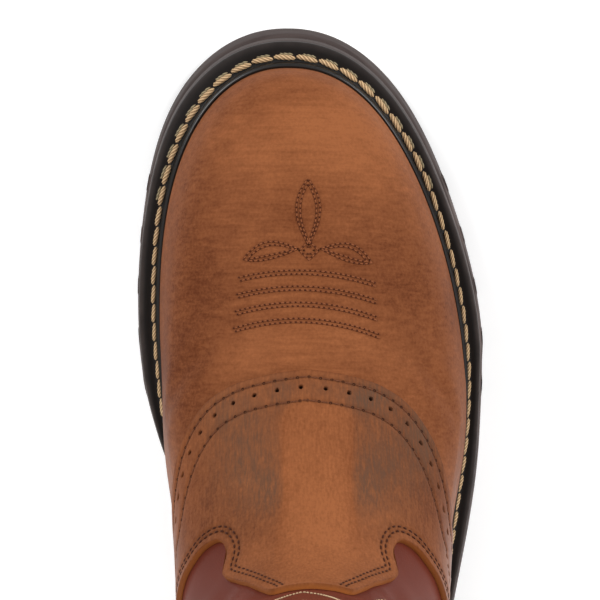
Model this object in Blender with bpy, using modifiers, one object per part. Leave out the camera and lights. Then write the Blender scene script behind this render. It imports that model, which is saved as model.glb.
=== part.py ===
"""A right-foot roper boot as an assembly of the pieces its maker puts together.

Frame: metres, +Z up, +X towards the toe, +Y towards the inner (medial) side of the foot.
The origin is on the floor under the middle of the boot's box.  Tables are in millimetres.

The upper is worked out from level sections, each one a closed ring around the ankle line.  A ring
runs from its front point on the instep ridge to its back point on the heel and is widest between
them.  The same ring rule gives the outlines of the sole, the welt, the heel and the insole.
"""

from collections import namedtuple
import math

import bmesh
import bpy
from mathutils import Matrix
import numpy as np

# Driving dimensions in millimetres
MM = 0.001
SOLE_LENGTH = 302.0
BALL_WIDTH = 114.0
HEEL_HEIGHT = 33.0
TOE_SPRING = 10.0
FORE_THICKNESS = 13.0
SEAT_THICKNESS = 8.7
FIT_GAP = 0.45

# Leather and rubber thicknesses
UPPER_WALL = 2.2
OVERLAY_WALL = 1.7
INSOLE_THICKNESS = 3.2
WELT_THICKNESS = 3.6
STRAP_WALL = 1.8

# Where the sole changes along the foot, as X from the boot's middle
TOE_X = SOLE_LENGTH / 2
HEEL_X = -SOLE_LENGTH / 2
SPRING_START = 55.0
ARCH_FRONT = 18.0
HEEL_BREAST = -62.0
WAIST_X = -38.0
WAIST_SPAN = 90.0
PINCH_X = -78.0
PINCH_SPAN = 95.0
SPRING_POWER = 1.8

# Tread
LUG_DEPTH = 4.2
LUG_GAP = 5.6
LUG_PITCH = 16.9
LUG_FIRST_X = 100.7
LUGS_PER_SIDE = 5
LUG_REACH = 27.0
CENTRE_GROOVES = 4
CENTRE_GROOVE_Y = 2.0
CENTRE_GROOVE_LENGTH = 36.0
HEEL_GROOVES = 3
HEEL_GROOVE_FIRST_X = -83.0
HEEL_GROOVE_PITCH = 20.0

# Grid lines round the boot, drawn closer along the sides than at toe and heel.
WALL_LINES = 60
SOLE_LINES = 72
HEEL_LINES = 25
SIDE_CLOSENESS = 0.22
# Points read along a curve before a place on it is looked up
CURVE_SAMPLES = 181
# Faces that meet at more than this many degrees keep a sharp edge.
SHARP_ANGLE = 40.0

Ring = namedtuple(
    "Ring",
    "name x_front z_front x_back z_back x_wide lateral medial tip n_front n_back"
    " heel_pinch waist_lateral waist_medial follow side_rise",
)

# One row per level section of the upper, from the feather line to the collar.
# tip: how far the front point leans to the inner side.  n: 2 is an ellipse, more is squarer.
# heel_pinch and the waists: how far the sides draw in before the heel and at the arch.
# follow: how much of the sole's own rise and fall the section keeps.
LAST = [
    Ring("feather", 135.2, 0.45, -147.0, 0.45, 36, 48.6, 46.2, 7.0, 2.20, 2.90, 5.5, 4.8, 15.0, 1.00, 0),
    Ring("wall", 136.4, 13.0, -148.5, 12.0, 34, 50.2, 47.8, 7.0, 2.20, 2.90, 4.9, 4.6, 8.0, 1.00, 0),
    Ring("shoulder", 132.2, 36.0, -148.5, 34.0, 30, 48.4, 46.3, 6.2, 2.08, 2.80, 4.6, 3.6, 3.0, 0.60, 0),
    Ring("toe_top", 117.0, 51.0, -148.0, 49.0, 20, 46.2, 44.8, 5.0, 2.00, 2.80, 4.2, 2.0, 2.3, 0.40, 0),
    Ring("vamp_low", 91.5, 63.0, -147.0, 61.0, -8, 44.2, 43.0, 3.4, 1.95, 2.75, 3.6, 1.2, 1.6, 0.25, 0),
    Ring("vamp_high", 64.0, 74.0, -145.5, 72.0, -30, 42.6, 41.8, 2.2, 1.85, 2.60, 2.4, 0.4, 1.0, 0.15, 0),
    Ring("instep_low", 34.0, 87.0, -143.5, 84.5, -48, 41.6, 41.0, 1.2, 1.85, 2.40, 1.2, 0.2, 0.5, 0.08, 0),
    Ring("instep_high", 8.0, 102.0, -141.0, 98.0, -58, 40.8, 40.6, 0.6, 1.90, 2.30, 0.0, 0.0, 0.0, 0.0, 0),
    Ring("throat", -10.0, 118.0, -138.5, 111.0, -66, 40.6, 40.6, 0.2, 2.00, 2.20, 0.0, 0.0, 0.0, 0.0, 0),
    Ring("ankle_low", -17.5, 134.0, -137.0, 126.0, -73, 41.4, 41.4, 0.0, 2.10, 2.15, 0.0, 0.0, 0.0, 0.0, 0),
    Ring("ankle_high", -20.5, 153.0, -136.5, 146.0, -77, 43.0, 43.0, 0.0, 2.10, 2.10, 0.0, 0.0, 0.0, 0.0, 0),
    Ring("shaft_middle", -18.5, 212.0, -138.5, 208.0, -79, 48.5, 48.5, 0, 2.10, 2.10, 0, 0, 0, 0, 3),
    Ring("collar", -13.5, 270.0, -142.0, 270.0, -78, 53.0, 53.0, 0.0, 2.10, 2.10, 0.0, 0.0, 0.0, 0.0, 12),
]
LEVEL = {row.name: number for number, row in enumerate(LAST)}
TOP_LEVEL = len(LAST) - 1
LAST_TABLE = np.array([row[1:] for row in LAST])

# The sole's outlines: its top edge under the welt, and its tread edge on the floor.
MEDIAL_TRIM = 0.6
SOLE_TOP_EDGE = Ring(
    "top edge", 145.8, 0, -150.0, 0, 46, 55.6, 55.4, 7.4, 2.15, 2.80, 10.0, 2.8, 18.5, 1.0, 0
)
SOLE_TREAD_EDGE = Ring(
    "tread edge", TOE_X, 0, HEEL_X, 0, 48, BALL_WIDTH / 2, BALL_WIDTH / 2 - MEDIAL_TRIM, 7.5, 2.15, 2.80,
    10.0, 2.8, 18.6, 1.0, 0,
)
# How far the sole's sides are flattened between ball and toe, where, and over what length.
FORE_TRIM = 1.0
FORE_TRIM_X = 95.0
FORE_TRIM_SPAN = 45.0

# The outsole's side from its top edge down to the tread: share of the way down, share of the way
# from the top edge's outline to the tread's, and how far the point stands in from that line.
SideStep = namedtuple("SideStep", "down flare inset")
SOLE_SIDE = [
    SideStep(0.00, 0.00, 0.6),
    SideStep(0.05, 0.03, 0.0),
    SideStep(0.38, 0.30, 0.0),
    SideStep(0.43, 0.38, 0.9),
    SideStep(0.50, 0.46, 0.9),
    SideStep(0.55, 0.55, 0.0),
    SideStep(0.92, 1.00, 0.0),
    SideStep(1.00, 1.00, 1.0),
]

# The welt's section from its lower inner corner round: share of the way from the upper out to the
# sole's edge, and height over the sole.  The raised bead lies against the upper.
WeltPoint = namedtuple("WeltPoint", "out height")
WELT_SECTION = [
    WeltPoint(0.00, 0.0),
    WeltPoint(1.00, 0.0),
    WeltPoint(1.00, 2.9),
    WeltPoint(0.94, WELT_THICKNESS),
    WeltPoint(0.36, WELT_THICKNESS),
    WeltPoint(0.28, 5.2),
    WeltPoint(0.14, 6.3),
    WeltPoint(0.00, 5.6),
]
WELT_END_X = HEEL_BREAST - 2.0
WELT_STEPS = 61
BEAD_LEVEL = 0.45
WELT_SEAT = 0.6

# The heel's side from the seat to the floor: share of its height, and how far it draws in.
HeelStep = namedtuple("HeelStep", "height inset")
HEEL_SIDE = [
    HeelStep(1.00, 0.4),
    HeelStep(0.86, 0.9),
    HeelStep(0.08, 2.0),
    HeelStep(0.00, 2.8),
]

# How far the insole stands in from the upper's outer face, past its slanted wall.
INSOLE_INSET = UPPER_WALL + 1.0
INSOLE_EDGE_IN = 0.6
INSOLE_EDGE_DOWN = 0.8

# Grid rows up the foot's wall and the shaft's, as shares of the way, and their joint.
FOOT_SHARES = (0.0, 0.06, 0.16, 0.27, 0.38, 0.49, 0.60, 0.70, 0.80, 0.90, 1.0)
SHAFT_SHARES = (0.0, 0.08, 0.17, 0.26, 0.36, 0.47, 0.62, 0.80, 1.0)
SPLIT_GAP = 0.04
OVERLAY_GAP = 0.6
SADDLE_UPS = 8
COUNTER_UPS = 8
RIB_STEPS = 2

# Edges on the upper: degrees round from the instep ridge, and level in the LAST table.
EdgePoint = namedtuple("EdgePoint", "around level")
SPLIT_LINE = [
    EdgePoint(0, 6.50),
    EdgePoint(30, 6.35),
    EdgePoint(50, 6.00),
    EdgePoint(70, 5.30),
    EdgePoint(90, 4.60),
    EdgePoint(110, 4.10),
    EdgePoint(128, 4.10),
    EdgePoint(145, 4.50),
    EdgePoint(160, 5.20),
    EdgePoint(180, 6.00),
]

# An overlay is a fan of ribs: each row runs from the overlay's first edge to its second.
Rib = namedtuple("Rib", "name around level to_around to_level")
SADDLE = [
    Rib("ridge", 0.0, 5.775, 0.0, 9.88),
    Rib("tongue middle", 5.0, 5.775, 8.0, 9.90),
    Rib("tongue point", 10.0, 5.755, 15.7, 9.84),
    Rib("tongue side", 15.0, 5.715, 23.2, 9.05),
    Rib("tongue side low", 21.0, 5.645, 31.0, 8.40),
    Rib("tongue corner", 27.0, 5.545, 37.8, 7.88),
    Rib("scoop wall", 32.0, 5.445, 36.8, 7.48),
    Rib("scoop bottom", 38.0, 5.315, 40.8, 7.12),
    Rib("scoop rise", 46.0, 5.115, 49.5, 6.81),
    Rib("quarter front", 56.0, 4.865, 60.0, 6.48),
    Rib("quarter", 66.0, 4.635, 70.0, 6.08),
    Rib("quarter back", 78.0, 4.395, 82.0, 5.60),
    Rib("side", 88.0, 4.185, 94.0, 5.12),
    Rib("seam corner", 94.5, 3.70, 106.4, 4.74),
    Rib("seam top", 98.0, 3.20, 108.3, 4.20),
    Rib("seam middle", 103.0, 2.30, 111.3, 3.00),
    Rib("seam low", 107.0, 1.40, 114.3, 1.80),
    Rib("seam foot", 110.0, 0.60, 117.3, 0.60),
]
COUNTER = [
    Rib("seam", 118.0, 0.60, 108.0, 4.70),
    Rib("welt end", 124.0, 0.60, 114.0, 4.64),
    Rib("seat front", 128.5, 0.14, 120.0, 4.67),
    Rib("seat", 136.0, 0.08, 130.0, 4.85),
    Rib("heel side", 146.0, 0.08, 143.0, 5.35),
    Rib("heel turn", 159.0, 0.08, 158.0, 6.20),
    Rib("heel back turn", 170.0, 0.08, 169.5, 6.95),
    Rib("heel back", 180.0, 0.08, 180.0, 7.20),
]
SEAM_FOOT = EdgePoint(108.0, 5.0)
SEAM_TOP_LEVEL = 11.3
# The side seam's section: across the strip, and out from the shaft's face.
SeamPoint = namedtuple("SeamPoint", "across out")
SEAM_SECTION = [
    SeamPoint(-2.2, FIT_GAP),
    SeamPoint(2.2, FIT_GAP),
    SeamPoint(1.5, 1.3),
    SeamPoint(0.0, 1.7),
    SeamPoint(-1.5, 1.3),
]
SEAM_STEPS = 16

# A pull strap's face towards the shaft: height over the collar, and distance outside the shaft's
# outer face, from the foot of the outer leg over the loop to the foot of the inner leg.
StrapPoint = namedtuple("StrapPoint", "height out")
STRAP_WIDTH = 27.0
STRAP_COLUMNS = 5
STRAP_GAP = 0.7
STRAP_OUTER = STRAP_GAP
STRAP_INNER = -UPPER_WALL - STRAP_GAP
STRAP_PATH = [
    StrapPoint(-42.0, STRAP_OUTER),
    StrapPoint(-22.0, STRAP_OUTER),
    StrapPoint(-3.0, STRAP_OUTER),
    StrapPoint(3.0, STRAP_OUTER + 1.8),
    StrapPoint(7.0, STRAP_OUTER + 2.8),
    StrapPoint(10.0, STRAP_OUTER + 1.2),
    StrapPoint(11.0, -UPPER_WALL / 2),
    StrapPoint(10.0, STRAP_INNER - 1.2),
    StrapPoint(7.0, STRAP_INNER - 2.8),
    StrapPoint(3.0, STRAP_INNER - 1.8),
    StrapPoint(-3.0, STRAP_INNER),
    StrapPoint(-22.0, STRAP_INNER),
    StrapPoint(-42.0, STRAP_INNER),
]

Finish = namedtuple("Finish", "name colour roughness")
TREAD_RUBBER = Finish("tread rubber", (0.045, 0.036, 0.030), 0.6)
WELT_LEATHER = Finish("black welt leather", (0.012, 0.011, 0.011), 0.35)
TAN_LEATHER = Finish("tan leather", (0.36, 0.145, 0.05), 0.55)
BURGUNDY_LEATHER = Finish("burgundy leather", (0.13, 0.032, 0.024), 0.3)
INSOLE_LEATHER = Finish("insole leather", (0.42, 0.29, 0.17), 0.7)


def smooth_step(value):
    """0 below 0, 1 above 1, and an S curve between."""
    value = np.clip(value, 0.0, 1.0)
    return value * value * (3.0 - 2.0 * value)


def toe_rise(x):
    """Height that toe spring adds at X."""
    share = np.clip((x - SPRING_START) / (TOE_X - SPRING_START), 0.0, None)
    return TOE_SPRING * share**SPRING_POWER


def arch_share(x):
    """0 on the ball and 1 on the heel seat."""
    return smooth_step((ARCH_FRONT - x) / (ARCH_FRONT - HEEL_BREAST))


def sole_top(x):
    """Height of the outsole's upper face at X."""
    return FORE_THICKNESS + toe_rise(x) + arch_share(x) * (HEEL_HEIGHT - FORE_THICKNESS)


def sole_bottom(x):
    """Height of the outsole's lower face at X."""
    return toe_rise(x) + arch_share(x) * (HEEL_HEIGHT - SEAT_THICKNESS)


def last_rows(level):
    """Columns of the LAST table at fractional levels, by a Catmull-Rom curve through the rows."""
    table = LAST_TABLE
    first = 2 * table[0] - table[1]
    final = 2 * table[-1] - table[-2]
    padded = np.vstack([first, table, final])
    level = np.clip(np.asarray(level, float), 0.0, TOP_LEVEL)
    row = np.minimum(level.astype(int), TOP_LEVEL - 1)
    part = (level - row)[..., None]
    before, here, after, beyond = (padded[row + step] for step in range(4))
    bend = 2 * before - 5 * here + 4 * after - beyond
    twist = 3 * here - before - 3 * after + beyond
    return here + 0.5 * part * (after - before + part * (bend + part * twist))


def hump(x, middle, span):
    """1 at the middle, falling to 0 a span away on either side."""
    return np.cos(0.5 * math.pi * np.clip((x - middle) / span, -1.0, 1.0)) ** 2


def ring_points(columns, angle):
    """Points of a level ring in millimetres.

    columns holds the Ring values after its name, on the last axis, and angle is in radians from
    the front point towards the inner side.
    """
    (x_front, z_front, x_back, z_back, x_wide, lateral, medial, tip, n_front, n_back,
     heel_pinch, waist_lateral, waist_medial, follow, side_rise) = np.moveaxis(
         np.asarray(columns), -1, 0)
    cosine = np.cos(angle)
    sine = np.sin(angle)
    forward = cosine >= 0
    inner = sine >= 0
    power = 2.0 / np.where(forward, n_front, n_back)
    reach = np.where(forward, x_front - x_wide, x_wide - x_back)
    along = np.sign(cosine) * np.abs(cosine) ** power
    x = x_wide + reach * along
    half = np.where(inner, medial, lateral)
    waist = np.where(inner, waist_medial, waist_lateral)
    pinch = waist * hump(x, WAIST_X, WAIST_SPAN) + heel_pinch * hump(x, PINCH_X, PINCH_SPAN)
    y = np.sign(sine) * (half - pinch) * np.abs(sine) ** power
    lean = np.sin(0.5 * math.pi * np.clip(along, 0.0, 1.0))
    y = y + tip * 0.5 * (lean + lean**2)
    share = (x - x_back) / (x_front - x_back)
    z = follow * sole_top(x) + z_back + (z_front - z_back) * share + side_rise * sine**2
    return np.stack([x, y, z], axis=-1)


def upper_point(around, level):
    """Point of the upper's outer face: degrees round from the ridge, and level in the table."""
    around, level = np.broadcast_arrays(np.radians(around), np.asarray(level, float))
    return ring_points(last_rows(level), around)


def side_angle(level, x):
    """Degrees round from the ridge, on the inner side, where a level's ring passes X."""
    columns = dict(zip(Ring._fields[1:], np.moveaxis(last_rows(level), -1, 0)))
    ahead = x - columns["x_wide"]
    front_reach = columns["x_front"] - columns["x_wide"]
    back_reach = columns["x_wide"] - columns["x_back"]
    reach = np.where(ahead > 0, front_reach, back_reach)
    power = np.where(ahead > 0, columns["n_front"], columns["n_back"]) / 2.0
    return np.degrees(np.arccos(np.sign(ahead) * (np.abs(ahead) / reach) ** power))


def upper_normal(around, level):
    """Unit normal of the upper's outer face, from small steps both ways."""
    step_round = 0.4
    step_up = 0.02
    level = np.clip(level, step_up, TOP_LEVEL - step_up)
    round_way = upper_point(np.add(around, step_round), level) - upper_point(
        np.subtract(around, step_round), level
    )
    up_way = upper_point(around, level + step_up) - upper_point(around, level - step_up)
    normal = np.cross(round_way, up_way)
    return normal / np.linalg.norm(normal, axis=-1, keepdims=True)


def upper_offset(around, level, distance):
    """Point at a distance outside the upper's outer face."""
    around, level = np.broadcast_arrays(np.asarray(around, float), np.asarray(level, float))
    distance = np.broadcast_to(np.asarray(distance, float), level.shape)
    return upper_point(around, level) + upper_normal(around, level) * distance[..., None]


def grid_angles(lines):
    """Angles of the grid lines round the boot, in degrees from the ridge."""
    turn = np.arange(lines) * 2 * math.pi / lines
    return np.degrees(turn + SIDE_CLOSENESS * np.sin(2 * turn))


def edge_curve(points, at):
    """A smooth curve through table rows, read at shares 0 to 1 of the row count."""
    rows = np.array(points, float)
    padded = np.vstack([2 * rows[0] - rows[1], rows, 2 * rows[-1] - rows[-2]])
    place = np.clip(np.asarray(at, float), 0.0, 1.0) * (len(rows) - 1)
    row = np.minimum(place.astype(int), len(rows) - 2)
    part = (place - row)[:, None]
    before, here, after, beyond = (padded[row + step] for step in range(4))
    bend = 2 * before - 5 * here + 4 * after - beyond
    twist = 3 * here - before - 3 * after + beyond
    return here + 0.5 * part * (after - before + part * (bend + part * twist))


def rib_grid(ribs, per_rib, ups):
    """Around and level values over a fan of ribs: per_rib steps for each row, ups along a rib."""
    rows = np.array([rib[1:] for rib in ribs], float)
    count = (len(ribs) - 1) * per_rib + 1
    smooth = edge_curve(rows, np.linspace(0.0, 1.0, count))
    share = np.linspace(0.0, 1.0, ups)[None, :]
    around = smooth[:, None, 0] * (1 - share) + smooth[:, None, 2] * share
    level = smooth[:, None, 1] * (1 - share) + smooth[:, None, 3] * share
    return around, level


def split_level(around):
    """Level where the foot's wall ends and the shaft's begins."""
    folded = np.abs((np.asarray(around, float) + 180.0) % 360.0 - 180.0)
    rows = edge_curve(SPLIT_LINE, np.linspace(0.0, 1.0, CURVE_SAMPLES))
    return np.interp(folded, rows[:, 0], rows[:, 1])


def make_material(finish):
    """A Principled BSDF material."""
    material = bpy.data.materials.new(finish.name)
    material.use_nodes = True
    shader = material.node_tree.nodes["Principled BSDF"]
    shader.inputs["Base Color"].default_value = (*finish.colour, 1.0)
    shader.inputs["Roughness"].default_value = finish.roughness
    shader.inputs["Metallic"].default_value = 0.0
    return material


def add_object(name, mesh, material, collection):
    """Put a mesh into the scene as a named, smooth-shaded piece."""
    mesh.materials.append(material)
    mesh.shade_smooth()
    mesh.set_sharp_from_angle(angle=math.radians(SHARP_ANGLE))
    piece = bpy.data.objects.new(name, mesh)
    collection.objects.link(piece)
    return piece


def grid_mesh(name, points, closed_round):
    """A quad sheet through points[around][up], closed round the first axis where asked."""
    rounds, ups = points.shape[:2]
    number = np.arange(rounds * ups).reshape(rounds, ups)
    nxt = np.roll(number, -1, axis=0)
    spans = rounds if closed_round else rounds - 1
    corners = [number[:spans, :-1], nxt[:spans, :-1], nxt[:spans, 1:], number[:spans, 1:]]
    faces = np.stack(corners, axis=-1).reshape(-1, 4)
    mesh = bpy.data.meshes.new(name)
    mesh.from_pydata((points.reshape(-1, 3) * MM).tolist(), [], faces.tolist())
    return mesh


def add_shell(name, points, wall, material, collection, closed_round=False, outwards=False):
    """A leather wall: an open sheet given its thickness by Solidify."""
    piece = add_object(name, grid_mesh(name, points, closed_round), material, collection)
    solidify = piece.modifiers.new("Wall", "SOLIDIFY")
    solidify.thickness = wall * MM
    solidify.offset = 1.0 if outwards else -1.0
    solidify.use_even_offset = True
    solidify.use_rim = True
    return piece


def ring_solid(name, rings):
    """A closed solid from a stack of rings, top ring first, with ladder caps at both ends.

    Points at equal angles left and right of the ridge share one X, so the caps are straight rungs.
    """
    rounds = rings[0].shape[0]
    vertices = np.concatenate(rings) * MM
    mesh = bpy.data.meshes.new(name)
    faces = []
    for level in range(len(rings) - 1):
        upper = level * rounds
        lower = upper + rounds
        for i in range(rounds):
            j = (i + 1) % rounds
            faces.append((lower + i, lower + j, upper + j, upper + i))
    for base, turned in ((0, False), ((len(rings) - 1) * rounds, True)):
        for i in range(rounds // 2):
            left = [base + i, base + i + 1]
            right = [base + (rounds - i - 1) % rounds, base + (rounds - i) % rounds]
            rung = list(dict.fromkeys(left + right))
            faces.append(tuple(reversed(rung)) if turned else tuple(rung))
    mesh.from_pydata(vertices.tolist(), [], faces)
    return mesh


def swept_solid(name, loops):
    """A closed solid through a row of equal loops, with a flat cap at each end."""
    loops = np.array(loops)
    count = loops.shape[1]
    number = np.arange(loops.shape[0] * count).reshape(loops.shape[:2])
    ahead = np.roll(number, -1, axis=1)
    quads = np.stack([number[:-1], ahead[:-1], ahead[1:], number[1:]], axis=-1).reshape(-1, 4)
    faces = quads.tolist()
    faces.append(number[0, ::-1].tolist())
    faces.append(number[-1].tolist())
    mesh = bpy.data.meshes.new(name)
    mesh.from_pydata((loops.reshape(-1, 3) * MM).tolist(), [], faces)
    shape = bmesh.new()
    shape.from_mesh(mesh)
    bmesh.ops.recalc_face_normals(shape, faces=shape.faces)
    shape.to_mesh(mesh)
    shape.free()
    return mesh


def inset_ring(points, distance):
    """Move a closed ring in towards its own middle, square to its plan outline."""
    ahead = np.roll(points, -1, axis=0) - np.roll(points, 1, axis=0)
    outward = np.stack([ahead[:, 1], -ahead[:, 0]], axis=1)
    outward /= np.linalg.norm(outward, axis=1, keepdims=True)
    moved = points.copy()
    moved[:, :2] -= outward * distance
    return moved


def sole_outline(flare, angles=None):
    """Plan outline between the sole's top edge (0) and its tread edge (1)."""
    turn = np.radians(grid_angles(SOLE_LINES) if angles is None else angles)
    top = ring_points(np.array(SOLE_TOP_EDGE[1:], float), turn)
    tread = ring_points(np.array(SOLE_TREAD_EDGE[1:], float), turn)
    plan = top + (tread - top) * flare
    plan[:, 1] -= np.sign(np.sin(turn)) * FORE_TRIM * hump(plan[:, 0], FORE_TRIM_X, FORE_TRIM_SPAN)
    return plan


def outline_angle(x):
    """Angle on the inner side, in degrees, where the tread's outline passes X."""
    angles = np.linspace(90.0, 180.0, CURVE_SAMPLES)
    places = sole_outline(1.0, angles)[:, 0]
    return float(np.interp(-x, -places, angles))


def box_cutter(name, centre, size, turn, tilt, collection):
    """A wire box for a Boolean to take away, turned about Z and tilted with the tread."""
    bpy.ops.mesh.primitive_cube_add(size=1.0)
    cutter = bpy.context.active_object
    cutter.name = name
    scale = [value * MM for value in size]
    cutter.data.transform(Matrix.Diagonal((*scale, 1.0)))
    cutter.rotation_euler = (0.0, tilt, turn)
    cutter.location = [value * MM for value in centre]
    cutter.hide_render = True
    cutter.display_type = "WIRE"
    for other in list(cutter.users_collection):
        other.objects.unlink(cutter)
    collection.objects.link(cutter)
    return cutter


def cut(piece, cutter):
    """Take a cutter away from a piece with a live Boolean."""
    boolean = piece.modifiers.new(cutter.name, "BOOLEAN")
    boolean.operation = "DIFFERENCE"
    boolean.solver = "EXACT"
    boolean.object = cutter


def groove_tilt(x):
    """Tilt that lays a groove along the tread's rise at X."""
    return -math.atan(float(toe_rise(x + 1) - toe_rise(x)))


def build_outsole(parts, cutters, rubber):
    """The outsole with its stepped side, toe spring, arch and tread."""
    rings = []
    for step in SOLE_SIDE:
        ring = inset_ring(sole_outline(step.flare), step.inset)
        top = sole_top(ring[:, 0])
        ring[:, 2] = top + (sole_bottom(ring[:, 0]) - top) * step.down
        rings.append(ring)
    outsole = add_object("outsole", ring_solid("outsole", rings), rubber, parts)
    for side, sign in (("medial", 1), ("lateral", -1)):
        edge = sole_outline(1.0, sign * np.linspace(180.0, 0.0, CURVE_SAMPLES))
        for number in range(LUGS_PER_SIDE):
            x = LUG_FIRST_X - number * LUG_PITCH
            y, ahead = np.interp([x, x + 1], edge[:, 0], edge[:, 1])
            size = (LUG_GAP, LUG_REACH * 2, LUG_DEPTH * 2)
            centre = (x, float(y), float(toe_rise(x)))
            turn = math.atan(float(ahead - y))
            name = f"{side} groove {number}"
            cut(outsole, box_cutter(name, centre, size, turn, groove_tilt(x), cutters))
    for number in range(CENTRE_GROOVES):
        x = LUG_FIRST_X - (number + 0.5) * LUG_PITCH
        size = (LUG_GAP, CENTRE_GROOVE_LENGTH, LUG_DEPTH * 2)
        centre = (x, CENTRE_GROOVE_Y, float(toe_rise(x)))
        cut(outsole, box_cutter(f"centre groove {number}", centre, size, 0.0, groove_tilt(x), cutters))


def build_heel(parts, cutters, rubber):
    """The heel block: the sole's own outline behind the breast, drawn in towards the floor."""
    start = outline_angle(HEEL_BREAST)
    outline = sole_outline(1.0, np.linspace(start, 360.0 - start, HEEL_LINES))
    top = sole_bottom(HEEL_X) - FIT_GAP
    rings = []
    for step in HEEL_SIDE:
        ring = inset_ring(outline, step.inset)
        ring[:, 2] = top * step.height
        rings.append(ring)
    heel = add_object("heel", swept_solid("heel", rings), rubber, parts)
    for number in range(HEEL_GROOVES):
        x = HEEL_GROOVE_FIRST_X - number * HEEL_GROOVE_PITCH
        size = (LUG_GAP, BALL_WIDTH, LUG_DEPTH * 2)
        cut(heel, box_cutter(f"heel groove {number}", (x, 0.0, 0.0), size, 0.0, 0.0, cutters))


def build_welt(parts, leather):
    """The welt: its section carried round the forepart from one side of the heel breast to the other."""
    end = outline_angle(WELT_END_X)
    angles = np.linspace(-end, end, WELT_STEPS)
    inner = upper_offset(angles, BEAD_LEVEL, FIT_GAP)
    outer = sole_outline(0.0, angles)
    loops = []
    for point in WELT_SECTION:
        line = inner + (outer - inner) * point.out
        line[:, 2] = sole_top(line[:, 0]) + WELT_SEAT + point.height
        loops.append(line)
    add_object("welt", swept_solid("welt", np.stack(loops, axis=1)), leather, parts)


def build_insole(parts, board):
    """The foot bed, lying on the outsole inside the upper's wall."""
    outline = upper_point(grid_angles(SOLE_LINES), 0.0)
    rim = INSOLE_THICKNESS - INSOLE_EDGE_DOWN
    rings = []
    for height, inset in ((INSOLE_THICKNESS, INSOLE_EDGE_IN), (rim, 0.0), (0.0, 0.0)):
        ring = inset_ring(outline, INSOLE_INSET + inset)
        ring[:, 2] = sole_top(ring[:, 0]) + FIT_GAP + height
        rings.append(ring)
    add_object("insole", ring_solid("insole", rings), board, parts)


def build_upper(parts, tan):
    """The foot's wall from the feather line up to the split, which the overlays cover."""
    angles = grid_angles(WALL_LINES)[:, None]
    share = np.array(FOOT_SHARES)[None, :]
    level = split_level(angles) * share
    add_shell("upper", upper_point(angles, level), UPPER_WALL, tan, parts, closed_round=True)


def build_shaft(parts, burgundy):
    """The leg's wall from the split up to the collar."""
    angles = grid_angles(WALL_LINES)[:, None]
    share = np.array(SHAFT_SHARES)[None, :]
    start = split_level(angles) + SPLIT_GAP
    level = start + (TOP_LEVEL - start) * share
    add_shell("shaft", upper_point(angles, level), UPPER_WALL, burgundy, parts, closed_round=True)


def build_saddle(parts, tan):
    """The saddle over the instep, mirrored across the ridge."""
    around, level = rib_grid(SADDLE, RIB_STEPS, SADDLE_UPS)
    around = np.vstack([-around[:0:-1], around])
    level = np.vstack([level[:0:-1], level])
    add_shell("saddle", upper_offset(around, level, OVERLAY_GAP), OVERLAY_WALL, tan, parts, outwards=True)


def build_counter(parts, tan):
    """The counter round the heel, from one side seam to the other."""
    around, level = rib_grid(COUNTER, RIB_STEPS, COUNTER_UPS)
    around = np.vstack([around, 360.0 - around[-2::-1]])
    level = np.vstack([level, level[-2::-1]])
    add_shell("counter", upper_offset(around, level, OVERLAY_GAP), OVERLAY_WALL, tan, parts, outwards=True)


def build_side_seam(name, sign, parts, burgundy):
    """A raised strip up one side of the shaft, from the saddle to the pull strap."""
    level = np.linspace(SEAM_FOOT.level, SEAM_TOP_LEVEL, SEAM_STEPS)
    foot_x = upper_point(SEAM_FOOT.around, SEAM_FOOT.level)[0]
    x = np.linspace(foot_x, LAST[-1].x_wide, SEAM_STEPS)
    around = sign * side_angle(level, x)
    middle = upper_point(around, level)
    ahead = np.gradient(middle, axis=0)
    ahead /= np.linalg.norm(ahead, axis=1, keepdims=True)
    normal = upper_normal(around, level)
    across = np.cross(ahead, normal)
    loops = [middle + across * point.across + normal * point.out for point in SEAM_SECTION]
    add_object(name, swept_solid(name, np.stack(loops, axis=1)), burgundy, parts)


def build_pull_strap(name, sign, parts, burgundy):
    """A strap over the collar at one side: an outer leg, a loop and an inner leg."""
    across = LAST[-1].x_wide + np.linspace(-STRAP_WIDTH / 2, STRAP_WIDTH / 2, STRAP_COLUMNS)
    around = sign * side_angle(np.full(across.shape, TOP_LEVEL), across)
    levels = np.linspace(LEVEL["ankle_high"], TOP_LEVEL, CURVE_SAMPLES)
    heights = upper_point(90.0, levels)[:, 2]
    rows = []
    for point in STRAP_PATH:
        level = np.interp(heights[-1] + min(point.height, 0.0), heights, levels)
        row = upper_offset(around, np.full(across.shape, level), point.out)
        row[:, 2] += max(point.height, 0.0)
        rows.append(row)
    sheet = np.stack(rows, axis=1)
    if sign > 0:
        sheet = sheet[::-1]
    add_shell(name, sheet, STRAP_WALL, burgundy, parts, outwards=True)


def main():
    """Build every piece into the boot's own collection."""
    for old in list(bpy.data.objects):
        bpy.data.objects.remove(old)
    parts = bpy.data.collections.new("Roper boot")
    cutters = bpy.data.collections.new("Cutters")
    bpy.context.scene.collection.children.link(parts)
    bpy.context.scene.collection.children.link(cutters)
    rubber = make_material(TREAD_RUBBER)
    black = make_material(WELT_LEATHER)
    tan = make_material(TAN_LEATHER)
    burgundy = make_material(BURGUNDY_LEATHER)
    board = make_material(INSOLE_LEATHER)
    build_outsole(parts, cutters, rubber)
    build_heel(parts, cutters, rubber)
    build_welt(parts, black)
    build_insole(parts, board)
    build_upper(parts, tan)
    build_shaft(parts, burgundy)
    build_saddle(parts, tan)
    build_counter(parts, tan)
    for side, sign in (("medial", 1), ("lateral", -1)):
        build_side_seam(f"side_seam_{side}", sign, parts, burgundy)
        build_pull_strap(f"pull_strap_{side}", sign, parts, burgundy)


main()
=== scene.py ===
"""Looks of a right-foot roper boot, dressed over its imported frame.

Axes are the frame's own: +X towards the toe, +Y towards the inner side of the foot, +Z up, with the
origin on the floor under the middle of the boot.  Shapes are worked out in millimetres and go into the
meshes in metres.
"""

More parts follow.
